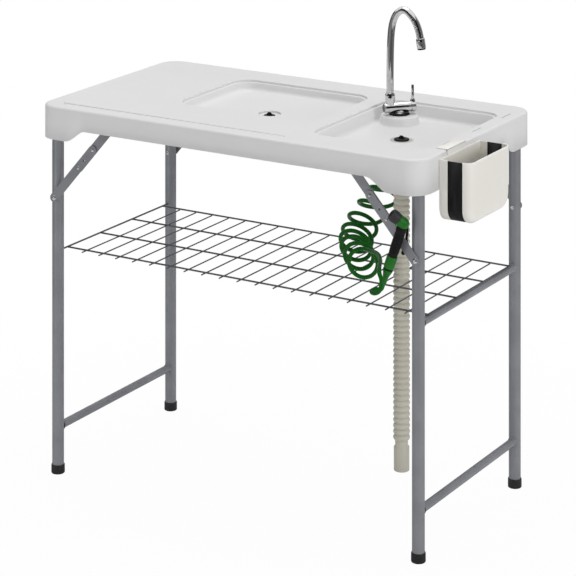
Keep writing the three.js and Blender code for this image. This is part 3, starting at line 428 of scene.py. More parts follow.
def hose_curve(name, route, radius, finish):
    data = bpy.data.curves.new(name, "CURVE")
    data.dimensions = "3D"
    data.bevel_depth = radius * MM
    data.bevel_resolution = 6
    data.use_fill_caps = True
    spline = data.splines.new("POLY")
    spline.points.add(len(route) - 1)
    for point, at in zip(spline.points, route):
        point.co = (*(TO_FRAME @ at), 1)
    spline.use_smooth = True
    data.materials.append(finish)
    made = bpy.data.objects.new(name, data)
    bpy.context.scene.collection.objects.link(made)
    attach(made, "stand")
    return made


corners = coil_route()
steps = 4 * len(corners)
route = [smooth_between(corners, i / steps) for i in range(steps + 1)]
coil = hose_curve("coiled_hose", route, HOSE_R, coil_green)
coil_length = sum((b - a).length for a, b in zip(route, route[1:])) * MM
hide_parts("coil_hose")
print("coiled hose:", round(coil_length, 3), "m")

# %% [markdown]
# The drain hose is a bellows: round ribs with tight valleys between them, a plain cuff at the foot, and a cuff at
# the top that slips over the waste. It is turned from one profile, each rib an arc of five points.

# %% The ribbed drain hose
HOSE_X, HOSE_Y = 323, -6
HOSE_FOOT, HOSE_TOP = 90, 844.1
CUFF_TOP, RIBS_FROM, RIBS_TO = 146, 161, 806.1
RIB_COUNT = 48
ARC_POINTS = 8
VALLEY_R, RIB_R = 15.2, 19.8


def drain_hose_profile():
    outline = [(13.6, HOSE_FOOT), (17.2, HOSE_FOOT), (18.2, HOSE_FOOT + 1.2), (18.2, CUFF_TOP - 1), (17.4, CUFF_TOP)]
    outline.append((VALLEY_R, CUFF_TOP + 3))
    pitch = (RIBS_TO - RIBS_FROM) / RIB_COUNT
    for rib in range(RIB_COUNT):
        for i in range(ARC_POINTS):
            share = i / ARC_POINTS
            swell = math.sin(math.pi * share) ** 0.7
            outline.append((VALLEY_R + (RIB_R - VALLEY_R) * swell, RIBS_FROM + (rib + share) * pitch))
    outline += [(VALLEY_R, RIBS_TO), (19.2, RIBS_TO + 3), (20.2, RIBS_TO + 4), (20.2, HOSE_TOP), (17.0, HOSE_TOP)]
    outline += [(17.0, RIBS_TO + 8), (13.6, RIBS_TO + 2), (13.6, HOSE_FOOT)]
    return outline


drain_hose = finished(
    "ribbed_drain_hose", turned(drain_hose_profile(), (HOSE_X, HOSE_Y, 0)), hose_cream,
    replacing=["drain_hose"], crease=50,
)

# %% [markdown]
# The worktop is one thin skin. A rounded plate is extruded up for the skirt and stepped in round a quarter circle
# for its soft top edge. The basins are stepped down from plates of their own. Narrow flat rings round each opening
# keep the shading of the flat top clean, and a Solidify modifier gives the skin its wall at the end.

# %% The worktop's skirt and top edge
SKIRT_FOOT, SKIRT_ARCH = TOP_Z - 80, TOP_Z - 50.5
FOOT_X, FOOT_Y, RAMP = 84, 112, 56
EDGE_R, EDGE_STEPS = 6, 6


def quarter_steps(radius, steps, start=0.0):
    """The inward and upward moves of a quarter circle that starts upright."""
    moves = []
    for i in range(steps):
        a, b = (math.radians(90) * (i + k) / steps for k in (0, 1))
        moves.append((radius * (math.cos(a) - math.cos(b)), radius * (math.sin(b) - math.sin(a))))
    return moves


def ramp_height(distance):
    """The skirt's lower edge: low at the corner feet, an S-curve, and high in the middle."""
    share = min(max(distance / RAMP, 0.0), 1.0)
    return SKIRT_FOOT + (SKIRT_ARCH - SKIRT_FOOT) * share * share * (3 - 2 * share)


def skirt():
    half_x, half_y = DECK_LENGTH / 2, DECK_WIDTH / 2
    bm = plate(-half_x, half_x, -half_y, half_y, 50, SKIRT_FOOT, 14)
    bmesh.ops.delete(bm, geom=bm.faces[:], context="FACES_ONLY")
    straight = {e: e.calc_length() for e in bm.edges if e.calc_length() > 200}
    for edge, length in straight.items():
        bmesh.ops.subdivide_edges(bm, edges=[edge], cuts=round(length / 8))
    base = bmesh.ops.contextual_create(bm, geom=bm.edges[:])["faces"][0]
    if base.normal.z < 0:
        base.normal_flip()
    lifted = bmesh.ops.extrude_face_region(bm, geom=[base], use_keep_orig=True)["geom"]
    top = next(g for g in lifted if isinstance(g, bmesh.types.BMFace))
    bmesh.ops.translate(bm, vec=(0, 0, TOP_Z - EDGE_R - SKIRT_FOOT), verts=top.verts)
    bmesh.ops.delete(bm, geom=[base], context="FACES_ONLY")
    for v in bm.verts:
        if abs(v.co.z - SKIRT_FOOT) < 1e-3:
            along_x, along_y = half_x - FOOT_X - abs(v.co.x), half_y - FOOT_Y - abs(v.co.y)
            v.co.z = ramp_height(max(along_x, along_y))
    step_in(bm, top, quarter_steps(EDGE_R, EDGE_STEPS) + [(0.8, 0)])
    bmesh.ops.delete(bm, geom=[top], context="FACES_ONLY")
    return bm


print("skirt faces:", len(skirt().faces))

# %% [markdown]
# Each basin has a small step at its rim, walls that lean in, and a wide round foot to the walls. The floor keeps a
# round hole for the waste, dished a little so that water finds it.

# %% The basins
RIM_STEP, RIM_LEDGE = 5, 6
WALL_LEAN, FLOOR_R = 1.6, 14
DRAIN_DISH_R = 28


def drain_dish(x, y, z, dish):
    bm = disc(x, y, DRAIN_DISH_R + 1.6, z)
    bm.faces.ensure_lookup_table()
    floor = bm.faces[0]
    step_in(bm, floor, [(0.8, 0), (0.8, -0.5), (0.5, 0.8 - dish), (0.9, -0.3), (10.2, 0)])
    bmesh.ops.delete(bm, geom=[floor], context="FACES_ONLY")
    return bm


def basin(left, right, front, radius, depth, drain, dish):
    grow = RIM_LEDGE + 2.0
    bm = plate(left - grow, right + grow, front - grow, 196 + grow, radius + grow * 0.8, TOP_Z, 12)
    bm.faces.ensure_lookup_table()
    face = bm.faces[0]
    rim = [(0.8, 0), (0.4, -0.15), (0.4, -0.45), (0.2, -4.4), (0.2, -1.6), (0.9, 0), (0.5, 1.3), (0.5, 0.3)]
    rim.append((RIM_LEDGE - 3.5, 0))
    lip = [(0.7, -0.2), (0.9, -0.7), (0.7, -1.1)]
    steep = depth - RIM_STEP - 2.0 - FLOOR_R * 0.72
    wall = [(WALL_LEAN, -steep)]
    foot = []
    for i in range(5):
        a, b = (math.radians(18 + 72 * (i + k) / 5) for k in (0, 1))
        inward = FLOOR_R * 1.3 * (math.cos(a) - math.cos(b))
        foot.append((inward, FLOOR_R * 1.04 * (math.sin(a) - math.sin(b))))
    step_in(bm, face, rim + lip + wall + foot + [(1.0, 0)])
    floor_z = face.verts[0].co.z
    bmesh.ops.delete(bm, geom=[face], context="FACES_ONLY")
    joined(bm, drain_dish(*drain, floor_z, dish))
    fill(bm, floor_z)
    print("basin floor at", round(floor_z, 1))
    return bm


BIG_DRAIN, SMALL_DRAIN = (-52, 15), (323, -6)
SLOT_X, SLOT_W, SLOT_L = 499.5, 3, 44
SLOT_YS = (-122, 33, 188)


def worktop():
    bm = joined(
        skirt(),
        basin(-242, 130, -100, 46, 27, BIG_DRAIN, 6),
        basin(187, 478, -188.5, 38, 38, SMALL_DRAIN, 2),
        *(
            plate(SLOT_X - SLOT_W / 2, SLOT_X + SLOT_W / 2, y - SLOT_L / 2, y + SLOT_L / 2, 1.6, TOP_Z, 4)
            for y in SLOT_YS
        ),
    )
    slots = [f for f in bm.faces if len(f.verts) > 12 and f.calc_area() < 300]
    for face in slots:
        step_in(bm, face, [(0.4, 0), (0.3, -0.4)])
    bmesh.ops.delete(bm, geom=slots, context="FACES_ONLY")
    fill(bm, TOP_Z)
    bmesh.ops.remove_doubles(bm, verts=bm.verts, dist=1e-3)
    bmesh.ops.recalc_face_normals(bm, faces=bm.faces)
    return bm


finished("moulded_worktop", worktop(), worktop_white, replacing=["worktop"], wall=4.4)

# %% [markdown]
# The tap stands on a round pedestal that grows out of the small basin's corner, and a long shallow bead runs along
# the front of the preparation area. Both are part of the same moulding on the real worktop.

# %% Pedestal and bead
BOSS_X, BOSS_Y, BOSS_Z = 242, 133, TOP_Z - 16.5


def pedestal():
    floor_z = TOP_Z - 38
    outline = [(0, BOSS_Z), (40, BOSS_Z)]
    outline += [(41 + 4.5 * math.sin(math.radians(a)), BOSS_Z - 4.5 * (1 - math.cos(math.radians(a)))) for a in range(0, 91, 18)]
    outline += [(47.5, floor_z + 5), (48.6, floor_z + 2.2), (51, floor_z + 0.4), (53, floor_z - 0.2), (0, floor_z - 2)]
    return turned(outline, (BOSS_X, BOSS_Y, 0), steps=64)


def front_bead():
    bm = box((-474, -250, TOP_Z - 1), (136, -247.2, TOP_Z + 1.6), 0.6, 2)
    marks = [box((x, -251, TOP_Z - 1), (x + 4, -246.2, TOP_Z + 1.6), 0.6, 2) for x in (140, 148)]
    return joined(bm, *marks)


finished("tap_pedestal", pedestal(), worktop_white)
finished("front_bead", front_bead(), worktop_white)

# %% [markdown]
# The legs are plain steel tubes in rubber caps. Turned profiles give them true round edges. The cross bars butt
# against the legs, where the real ones are welded, so each gets a small fillet of weld.


# %% Legs, caps and bars
def tube_between(start, end, radius, bore, steps=32):
    start, end = Vector(start), Vector(end)
    length = (end - start).length
    outline = [(bore, 0.4), (bore + 0.3, 0), (radius - 0.4, 0), (radius, 0.4), (radius, length - 0.4)]
    outline += [(radius - 0.4, length), (bore + 0.3, length), (bore, length - 0.4), (bore, 0.4)]
    return turned(outline, start, end - start, steps)


BAR_R = 9.5
BAR_END = LEG_Y - LEG_R - 0.3
LOW_BAR_Z, RAIL_Z, HINGE_Z = 111.5, 526.7, TOP_Z - 42


def weld(x, y, z, row_sign):
    outline = [(BAR_R - 0.2, 0), (BAR_R + 2.2, 0), (BAR_R + 1.4, 1.2), (BAR_R + 0.5, 2.2), (BAR_R - 0.2, 2.8)]
    outline.append(outline[0])
    return turned(outline, (x, row_sign * y, z), (0, -row_sign, 0), 24)


def cross_bar(x, z):
    bar = tube_between((x, -BAR_END, z), (x, BAR_END, z), BAR_R, BAR_R - 1.2, 28)
    return joined(bar, *(weld(x, BAR_END + 0.1, z, sign) for sign in ROWS.values()))


for side, side_sign in SIDES.items():
    x = side_sign * LEG_X
    for row, row_sign in ROWS.items():
        y = row_sign * LEG_Y
        finished(
            f"leg_tube_{row}_{side}", tube_between((x, y, 3), (x, y, TOP_Z - 28), LEG_R, LEG_R - 1.2, 48), leg_grey,
            replacing=[f"leg_{row}_{side}"],
        )
        cap = [(0, 0), (12.5, 0), (15.2, 0.6), (16.3, 1.8), (16.5, 3), (16.4, 19), (16.2, 21), (15.6, 22)]
        cap += [(14.7, 22), (14.6, 2.7), (0, 2.7)]
        finished(
            f"foot_cap_{row}_{side}", turned(cap, (x, y, 0)), foot_black,
            replacing=[f"foot_{row}_{side}"],
        )
    finished(f"low_bar_{side}", cross_bar(x, LOW_BAR_Z), leg_grey, replacing=[f"floor_bar_{side}"])
    finished(f"pivot_bar_{side}", cross_bar(x, HINGE_Z), leg_grey, replacing=[f"hinge_tube_{side}"])
finished("rail_bar", cross_bar(LEG_X, RAIL_Z), leg_grey, replacing=["shelf_rail"])

# %% [markdown]
# Each brace is two flat links that lap over each other, with round ends, bright rivets and a hole between them.
# A link is a plate with all its corners rounded right off, filled round its holes and given its thickness.

# %% Folding braces
RIVET_Z = 671
BRACE_ANGLE = math.radians(48.7)
BRACE_TOP_Z = TOP_Z - 26
BRACE_LENGTH = (BRACE_TOP_Z - RIVET_Z) / math.sin(BRACE_ANGLE)
BRACE_MIDDLE = BRACE_LENGTH / 2
LINK_W, LINK_T, HOLE_R = 22, 3, 3
LOWER_Y = LEG_Y + LEG_R + 0.3 + LINK_T
UPPER_Y = LOWER_Y - LINK_T - 0.3


def link(start, end, holes):
    half = LINK_W / 2
    bm = plate(start - half, end + half, -half, half, half - 0.01, 0, 12)
    bmesh.ops.delete(bm, geom=bm.faces[:], context="FACES_ONLY")
    for at in holes:
        hole = disc(at, 0, HOLE_R, 0, 20)
        bmesh.ops.delete(hole, geom=hole.faces[:], context="FACES_ONLY")
        joined(bm, hole)
    faces = fill(bm, 0)
    thick = bmesh.ops.extrude_face_region(bm, geom=faces, use_keep_orig=True)["geom"]
    bmesh.ops.translate(bm, vec=(0, 0, LINK_T), verts=[g for g in thick if isinstance(g, bmesh.types.BMVert)])
    bmesh.ops.recalc_face_normals(bm, faces=bm.faces)
    return bm


def on_corner(bm, side_sign, row_sign, outer_y):
    """Stands a link up at its slope, its outer face at outer_y from the middle."""
    upright = Matrix.Rotation(math.radians(90), 4, "X")
    slope = Matrix.Rotation(-BRACE_ANGLE, 4, "Y")
    mirror = Matrix.Diagonal((-side_sign, 1, 1, 1))
    face_y = row_sign * outer_y + (LINK_T if row_sign < 0 else 0)
    seat = Matrix.Translation((side_sign * LEG_X, face_y, RIVET_Z))
    bmesh.ops.transform(bm, matrix=seat @ mirror @ slope @ upright, verts=bm.verts)
    bmesh.ops.recalc_face_normals(bm, faces=bm.faces)
    return bm


def rivet(x, z, row_sign, outer_y, inner_y, head_r):
    length = outer_y - inner_y
    head = [(0, -2.5), (head_r * 0.35, -2.35), (head_r * 0.7, -1.7), (head_r * 0.93, -0.8), (head_r, 0)]
    tail = [(2.9, 0), (2.9, length), (4.6, length), (4.8, length + 0.8), (4.0, length + 1.8), (0, length + 2.2)]
    return turned(head + tail, (x, row_sign * outer_y, z), (0, -row_sign, 0), 24)


def brace_spot(distance, side_sign):
    x = side_sign * (LEG_X - distance * math.cos(BRACE_ANGLE))
    return x, RIVET_Z + distance * math.sin(BRACE_ANGLE)


for side, side_sign in SIDES.items():
    for row, row_sign in ROWS.items():
        near, far = BRACE_MIDDLE - 26, BRACE_MIDDLE + 38
        corner = f"{row}_{side}"
        lower = on_corner(link(0, far, (BRACE_MIDDLE,)), side_sign, row_sign, LOWER_Y)
        finished(
            f"lower_link_{corner}", lower, brace_grey,
            replacing=[f"brace_lower_{corner}"], soften=0.5,
        )
        upper = on_corner(link(near, BRACE_LENGTH, (BRACE_MIDDLE,)), side_sign, row_sign, UPPER_Y)
        finished(
            f"upper_link_{corner}", upper, brace_grey,
            replacing=[f"brace_upper_{corner}"], soften=0.5,
        )
        rivets = joined(
            rivet(side_sign * LEG_X, RIVET_Z, row_sign, LOWER_Y, LEG_Y - LEG_R, 6.2),
            *(rivet(*brace_spot(at, side_sign), row_sign, LOWER_Y, UPPER_Y - LINK_T, 4.6) for at in (near, far)),
        )
        finished(f"brace_rivets_{corner}", rivets, rivet_steel)

# %% [markdown]
# The shelf is a grid of drawn wire: four long wires and two ends, with nineteen cross wires spot-welded beneath.
# Cut wire has a slightly rounded tip, and each weld squeezes a small bead out of the crossing.

# %% Wire shelf
SHELF_Z = RAIL_Z + BAR_R + 0.3 + 2.1
SHELF_HALF, LONG_R, CROSS_R = 207.5, 2.1, 1.6
FIRST_CROSS, CROSS_PITCH, CROSS_COUNT = -442, 49.33, 19
CROSS_Z = SHELF_Z - LONG_R - CROSS_R + 0.5


def wire(start, end, radius):
    start, end = Vector(start), Vector(end)
    length = (end - start).length
    tip = radius * 0.35
    outline = [(0, 0), (radius - tip, 0), (radius, tip), (radius, length - tip), (radius - tip, length), (0, length)]
    return turned(outline, start, end - start, 12)


def shelf():
    left, right = -LEG_X, LEG_X + 6
    rows = [-SHELF_HALF + 2 * SHELF_HALF * i / 3 for i in range(4)]
    wires = [wire((left, y, SHELF_Z), (right, y, SHELF_Z), LONG_R) for y in rows]
    pin_end = LEG_Y - LEG_R + 4
    wires.append(wire((left, -pin_end, SHELF_Z), (left, pin_end, SHELF_Z), LONG_R))
    wires.append(wire((right, -SHELF_HALF - 2, SHELF_Z), (right, SHELF_HALF + 2, SHELF_Z), LONG_R))
    for i in range(CROSS_COUNT):
        x = FIRST_CROSS + i * CROSS_PITCH
        wires.append(wire((x, -SHELF_HALF - 12, CROSS_Z), (x, SHELF_HALF + 2.1, CROSS_Z), CROSS_R))
        for y in rows:
            bead = bmesh.new()
            bmesh.ops.create_icosphere(bead, subdivisions=1, radius=2.3)
            bmesh.ops.translate(bead, vec=(x, y, SHELF_Z - LONG_R), verts=bead.verts)
            wires.append(bead)
    return joined(*wires)


finished("wire_shelf", shelf(), wire_grey, body="shelf", replacing=["shelf_grid"], crease=50)

# %% [markdown]
# The bin is one deep scoop, open at the top, cut into three slices: two stiff cream shells and a black band that
# folds between them. Each slice is cut from the same rounded form, so that their curves run through.

# %% Folding bin
BIN_BACK, BIN_BAND, BIN_FACE, BIN_END = 525.3, 546.5, 583.5, 606.3
BIN_FRONT_Y, BIN_BACK_Y = -207, -5
RIM_Z, BIN_HEIGHT, BIN_WALL = TOP_Z - 12, 141, 2.2


def scoop(inset, top):
    """The bin's form on its back: local Y is up and local Z runs away from the worktop."""
    low = RIM_Z - BIN_HEIGHT + inset
    bm = plate(BIN_FRONT_Y + inset, BIN_BACK_Y - inset, low, top, 36 - inset, BIN_BACK + inset, 12, corners=2)
    bm.faces.ensure_lookup_table()
    deep = bmesh.ops.extrude_face_region(bm, geom=[bm.faces[0]], use_keep_orig=True)["geom"]
    depth = BIN_END - BIN_BACK - 2 * inset
    bmesh.ops.translate(bm, vec=(0, 0, depth), verts=[g for g in deep if isinstance(g, bmesh.types.BMVert)])
    front = next(g for g in deep if isinstance(g, bmesh.types.BMFace))
    sides = [e for e in front.edges if not all(abs(v.co.y - top) < 1e-3 for v in e.verts)]
    bmesh.ops.bevel(bm, geom=sides, affect="EDGES", offset=18 - inset, segments=8, profile=0.5, material=-1)
    lid = [f for f in bm.faces if all(abs(v.co.y - top) < 1e-3 for v in f.verts)]
    bmesh.ops.delete(bm, geom=lid, context="FACES_ONLY")
    bmesh.ops.recalc_face_normals(bm, faces=bm.faces)
    swap = Matrix(((0, 0, 1, 0), (1, 0, 0, 0), (0, 1, 0, 0), (0, 0, 0, 1)))
    bmesh.ops.transform(bm, matrix=swap, verts=bm.verts)
    return bm


def sliced(bm, start, end):
    for x, side in ((start, -1), (end, 1)):
        bmesh.ops.bisect_plane(
            bm, geom=bm.verts[:] + bm.edges[:] + bm.faces[:], plane_co=(x, 0, 0), plane_no=(side, 0, 0), clear_outer=True
        )
    return bm


finished(
    "bin_back", sliced(scoop(0.7, RIM_Z - 1), BIN_BACK - 9, BIN_BAND), bin_cream, body="bin",
    replacing=["bin_back_shell"], wall=BIN_WALL, soften=0.4,
)
finished(
    "bin_band", sliced(scoop(1.2, RIM_Z - 1.2), BIN_BAND + 0.3, BIN_FACE - 0.3), band_black, body="bin",
    replacing=["bin_fold_band"], wall=1.1,
)
finished(
    "bin_front", sliced(scoop(0.7, RIM_Z - 1), BIN_FACE, BIN_END + 9), bin_cream, body="bin",
    replacing=["bin_front_shell"], wall=BIN_WALL, soften=0.4,
)
# The rim lips take the brighter cream copy: a painted highlight along the top of the bin's rim.
for name, start, end in (("back", BIN_BACK - 9, BIN_BAND), ("front", BIN_FACE, BIN_END + 9)):
    lip = sliced(scoop(0, RIM_Z), start, end)
    whole = lip.verts[:] + lip.edges[:] + lip.faces[:]
    bmesh.ops.bisect_plane(lip, geom=whole, plane_co=(0, 0, RIM_Z - 4.5), plane_no=(0, 0, -1), clear_outer=True)
    finished(f"bin_lip_{name}", lip, painted_light_cream, body="bin", wall=3.4, soften=0.8)
# The hook takes the brighter cream copy too: painted light on its up-facing plate.
HOOK_FRONT, HOOK_BACK = -167, -77
hook = joined(
    box((BIN_BACK, HOOK_FRONT, RIM_Z - 9), (BIN_BACK + 2.2, HOOK_BACK, TOP_Z + 2.3), 0.5),
    box((SLOT_X - 1.1, HOOK_FRONT, TOP_Z + 0.3), (BIN_BACK + 2.2, HOOK_BACK, TOP_Z + 2.5), 0.5),
    box((SLOT_X - 1.1, -140, TOP_Z - 8.7), (SLOT_X + 1.1, -104, TOP_Z + 2.5), 0.5),
)
finished("bin_hook", hook, painted_light_cream, body="bin")

# %% [markdown]
# Each waste is a shallow white flange with its pipe and nut below, and a black plug with a pointed grip above. The
# grip is a thin prism whose top ridge is scaled in to a point.


# %% Wastes and plugs
def waste(x, y, seat, end):
    outline = [(13.6, end), (15.8, end), (16.4, end + 1), (16.4, seat), (26.0, seat), (26.4, seat + 0.5)]
    outline += [(26.0, seat + 1.2), (24, seat + 1.6), (15.4, seat + 1.3), (14.0, seat + 0.9), (13.6, seat), (13.6, end)]
    return turned(outline, (x, y, 0))


def plug(x, y, seat, rim):
    outline = [(0, seat - 12), (11.6, seat - 12), (12.4, seat - 11), (12.4, seat), (rim - 0.4, seat), (rim, seat + 0.6)]
    outline += [(rim - 0.4, seat + 1.8), (rim - 1.4, seat + 2.9), (rim - 2.6, seat + 3.4), (0, seat + 3.4)]
    knob = turned(outline, (x, y, 0))
    grip = box((x - 11.5, y - 2.5, seat + 1), (x + 11.5, y + 2.5, seat + 10))
    ridge = [v for v in grip.verts if v.co.z > seat + 5]
    bmesh.ops.scale(grip, vec=(0.28, 0.5, 1), space=Matrix.Translation((-x, -y, 0)), verts=ridge)
    bmesh.ops.bevel(grip, geom=grip.edges[:], affect="EDGES", offset=0.7, segments=3, profile=0.5, material=-1)
    return joined(knob, grip)


for size, body, (x, y), seat in (("big", "plug_a", BIG_DRAIN, 867.3), ("small", "plug_b", SMALL_DRAIN, 860.3)):
    end, lift, rim = {"big": (829, -1.2, 15), "small": (818, 1.9, 18.4)}[size]
    finished(
        f"waste_fitting_{size}", waste(x, y, seat, end), worktop_white if size == "big" else fitting_white,
        replacing=[f"waste_{size}"],
    )
    finished(
        f"drain_plug_{size}", plug(x, y, seat + lift, rim), fitting_black, body=body,
        replacing=[f"plug_{size}"],
    )

# %% [markdown]
# The tap is polished chrome: a round barrel lying across a short neck, a knuckle that the spout turns in, the long
# swan neck with its sleeve, and a lever pin on the end ring. The spout is a curve turned into a mesh.

# %% Tap
TAP_DEG, SPOUT_DEG = 49, -5
TAP_AXIS = Vector((math.cos(math.radians(TAP_DEG)), math.sin(math.radians(TAP_DEG)), 0))
SPOUT_OUT = Vector((math.cos(math.radians(SPOUT_DEG)), math.sin(math.radians(SPOUT_DEG)), 0))
BARREL_Z, BARREL_R, BARREL_L = BOSS_Z + 16.8, 12.4, 80
TAP_CENTRE = Vector((BOSS_X, BOSS_Y, BARREL_Z))
KNUCKLE = TAP_CENTRE - TAP_AXIS * 0.3 * BARREL_L
KNUCKLE_TOP = BARREL_Z + BARREL_R - 1.2 + 26


def tap_body():
    length = BARREL_L - 12.3
    barrel = [(0, 0), (9.6, 0), (10.2, 0.3), (10.2, 1.2), (11.2, 1.2), (12.1, 1.7), (12.4, 2.6), (12.4, length), (0, length)]
    base = BOSS_Z + 3.6
    neck = [(0, base), (12.6, base), (13, base + 0.4), (12.4, base + 1.4), (11, base + 2.4), (11, BARREL_Z), (0, BARREL_Z)]
    tail = [(0, BOSS_Z - 45.7), (9.4, BOSS_Z - 45.7), (10, BOSS_Z - 45), (10, BOSS_Z + 6), (0, BOSS_Z + 6)]
    return joined(
        turned(barrel, TAP_CENTRE - TAP_AXIS * BARREL_L / 2, TAP_AXIS, 64),
        turned(neck, (BOSS_X, BOSS_Y, 0), steps=64),
        turned(tail, (BOSS_X, BOSS_Y, 0)),
    )


def knuckle():
    base = BARREL_Z + BARREL_R - 1.4
    top = KNUCKLE_TOP
    outline = [(0, base - 3), (10.8, base - 3), (11.4, base + 1.2), (11.4, base + 8), (12, base + 9), (12, base + 20)]
    outline += [(11.5, base + 22), (9.6, top - 1.4), (8.8, top), (0, top)]
    return turned(outline, (KNUCKLE.x, KNUCKLE.y, 0), steps=64)


def lever():
    ring_start = TAP_CENTRE + TAP_AXIS * (BARREL_L / 2 - 12)
    ring = [(0, 0), (12.4, 0), (13, 0.5), (13, 11), (12.4, 11.7), (11, 12), (0, 12)]
    pin_foot = TAP_CENTRE + TAP_AXIS * (BARREL_L / 2 - 6)
    pin = [(0, 0), (3.3, 0), (3.3, 50.4), (2.9, 51.6), (1.8, 52), (0, 52)]
    collar = [(0, 9), (7.4, 9), (7, 12.4), (6, 15.4), (4.6, 18.4), (3.9, 19.4), (0, 19.4)]
    return joined(
        turned(ring, ring_start, TAP_AXIS, 64), turned(pin, pin_foot, steps=24), turned(collar, pin_foot, steps=32)
    )


NECK_LINE = [
    (0, 0), (0.3, 52), (1.2, 102), (3, 138), (7, 165), (15, 185), (26, 197), (38, 202.3), (50, 199.6), (63, 189),
    (74, 175), (81.5, 159), (86, 143), (88.2, 129),
]


def spout_points():
    foot = Vector((KNUCKLE.x, KNUCKLE.y, KNUCKLE_TOP))
    corners = [foot + SPOUT_OUT * reach + up * rise for reach, rise in NECK_LINE]
    return [smooth_between(corners, i / 78) for i in range(79)]


def swept(points, radius, steps=32):
    """A round tube along points, as a mesh with capped ends."""
    data = bpy.data.curves.new("sweep", "CURVE")
    data.dimensions = "3D"
    data.bevel_depth = radius
    data.bevel_resolution = steps // 4
    data.use_fill_caps = True
    spline = data.splines.new("POLY")
    spline.points.add(len(points) - 1)
    for point, at in zip(spline.points, points):
        point.co = (*at, 1)
    carrier = bpy.data.objects.new("sweep", data)
    bpy.context.scene.collection.objects.link(carrier)
    bm = bmesh.new()
    bm.from_mesh(carrier.to_mesh())
    carrier.to_mesh_clear()
    bpy.data.objects.remove(carrier)
    bpy.data.curves.remove(data)
    bmesh.ops.remove_doubles(bm, verts=bm.verts, dist=1e-3)
    bmesh.ops.recalc_face_normals(bm, faces=bm.faces)
    return bm


def slot_in_knuckle():
    """The dark seat of the grub screw that holds the spout."""
    bm = box((-4, -12.1, 0), (4, -10.6, 10.5), 0.6, 2)
    bmesh.ops.rotate(bm, matrix=Matrix.Rotation(math.radians(28), 3, "Z"), verts=bm.verts)
    bmesh.ops.translate(bm, vec=(KNUCKLE.x, KNUCKLE.y, KNUCKLE_TOP - 12), verts=bm.verts)
    return bm


def barrel_cap():
    outline = [(0, -0.4), (8.6, -0.4), (9.3, 0.1), (9.3, 0.6), (0, 0.6)]
    return turned(outline, TAP_CENTRE - TAP_AXIS * (BARREL_L / 2), TAP_AXIS, 40)


spout_line = spout_points()
spout = joined(swept(spout_line, 8.6), knuckle())
finished("swan_neck", spout, tap_chrome, body="spout_arm", replacing=["spout"])
mouth = [(8.7, 0.6), (9.4, 0), (10.4, 0.6), (10.6, 1.4), (10.6, 22), (10.2, 22.8), (9.2, 23), (8.6, 22.2), (8.6, 14), (0, 14)]
aerator_aim = (spout_line[-1] - spout_line[-2]).normalized()
finished(
    "spout_sleeve", turned(mouth, spout_line[-1] - aerator_aim * 11.2, aerator_aim, 48), tap_chrome,
    body="spout_arm", replacing=["aerator"],
)
grille = [(0, 0), (8.3, 0), (8.3, 4.4), (9.8, 5.6), (9.8, 7.2), (9.2, 7.8), (8.2, 7.2), (7.6, 5), (0, 4.4)]
finished(
    "spout_strainer", turned(grille, spout_line[-1] + aerator_aim * 7.4, aerator_aim, 40), fitting_black,
    body="spout_arm",
)
finished("knuckle_slot", slot_in_knuckle(), fitting_black, body="spout_arm")
finished("barrel_cap", barrel_cap(), wire_grey)
finished("tap_barrel", tap_body(), tap_chrome, replacing=["tap_body"])
finished("tap_lever_pin", lever(), tap_chrome, body="lever", replacing=["tap_lever"])
ring = [(10.3, 0), (24.2, 0), (25, 0.8), (25, 2.2), (24.2, 3), (10.3, 3), (10.3, 0)]
finished(
    "tap_ring", turned(ring, (BOSS_X, BOSS_Y, BOSS_Z + 0.3)), fitting_black,
    replacing=["tap_gasket"],
)

# %% [markdown]
# The spray gun is hung up by its trigger, which reaches over the brace and down behind it. From the tail up: a cone and sealing ring, the green quick
# joiner with its finger grooves, a black grip with soft ribs, a green head and the black dial with its knurl.

# %% Spray gun
GUN_LEAN = math.radians(19.6)
GUN_AXIS = Vector((math.sin(GUN_LEAN), 0, math.cos(GUN_LEAN)))
NOZZLE_AIM = Vector((-0.55, -0.55, 0.63)).normalized()


def on_gun(distance):
    return GUN_TAIL + GUN_AXIS * distance


tail_outline = [(0, 0), (5.4, 0), (6.2, 0.8), (6.2, 15), (6.8, 17), (8.2, 23), (10.6, 31), (11.4, 33), (11.6, 35.7), (0, 35.7)]
gun_tail = finished(
    "gun_tail_cone", turned(tail_outline, on_gun(0), GUN_AXIS), fitting_green, replacing=["gun_tail"]
)
ring_outline = [(0, 0), (9.4, 0), (10, 0.6), (10, 2.8), (9.4, 3.4), (0, 3.4)]
gun_ring = finished(
    "gun_black_ring", turned(ring_outline, on_gun(36), GUN_AXIS), fitting_black,
    replacing=["gun_seal_ring"],
)


def quick_joiner():
    outline = [(0, 0), (11, 0), (11.8, 0.8), (12, 4), (12.2, 11)]
    for i in range(4):
        z = 12 + i * 3.6
        outline += [(12.2, z), (11.5, z + 0.6), (11.5, z + 1.6), (12.2, z + 2.2)]
    outline += [(12.2, 27), (11.6, 28.2), (10.8, 28.7), (0, 28.7)]
    return turned(outline, on_gun(39.7), GUN_AXIS)


gun_joiner = finished("gun_quick_joiner", quick_joiner(), fitting_green, replacing=["gun_joiner"])


def grip():
    outline = [(0, 0), (9.6, 0), (10.5, 0.8), (10.5, 6)]
    for i in range(11):
        z = 8 + i * 4.5
        swell = 10.6 + 0.9 * math.sin(math.pi * (i + 1) / 13)
        outline += [(swell, z), (swell + 0.3, z + 0.8), (swell + 0.3, z + 2.4), (swell, z + 3.2), (swell - 0.7, z + 3.8)]
    outline += [(11.2, 60), (11.9, 64), (12, 72.6), (11.2, 73.6), (0, 73.6)]
    return turned(outline, on_gun(68.7), GUN_AXIS)


gun_grip = finished("gun_ribbed_grip", grip(), fitting_black, replacing=["gun_grip"])

HEAD_FOOT = 142.5
head_middle = on_gun(HEAD_FOOT + 7.5)


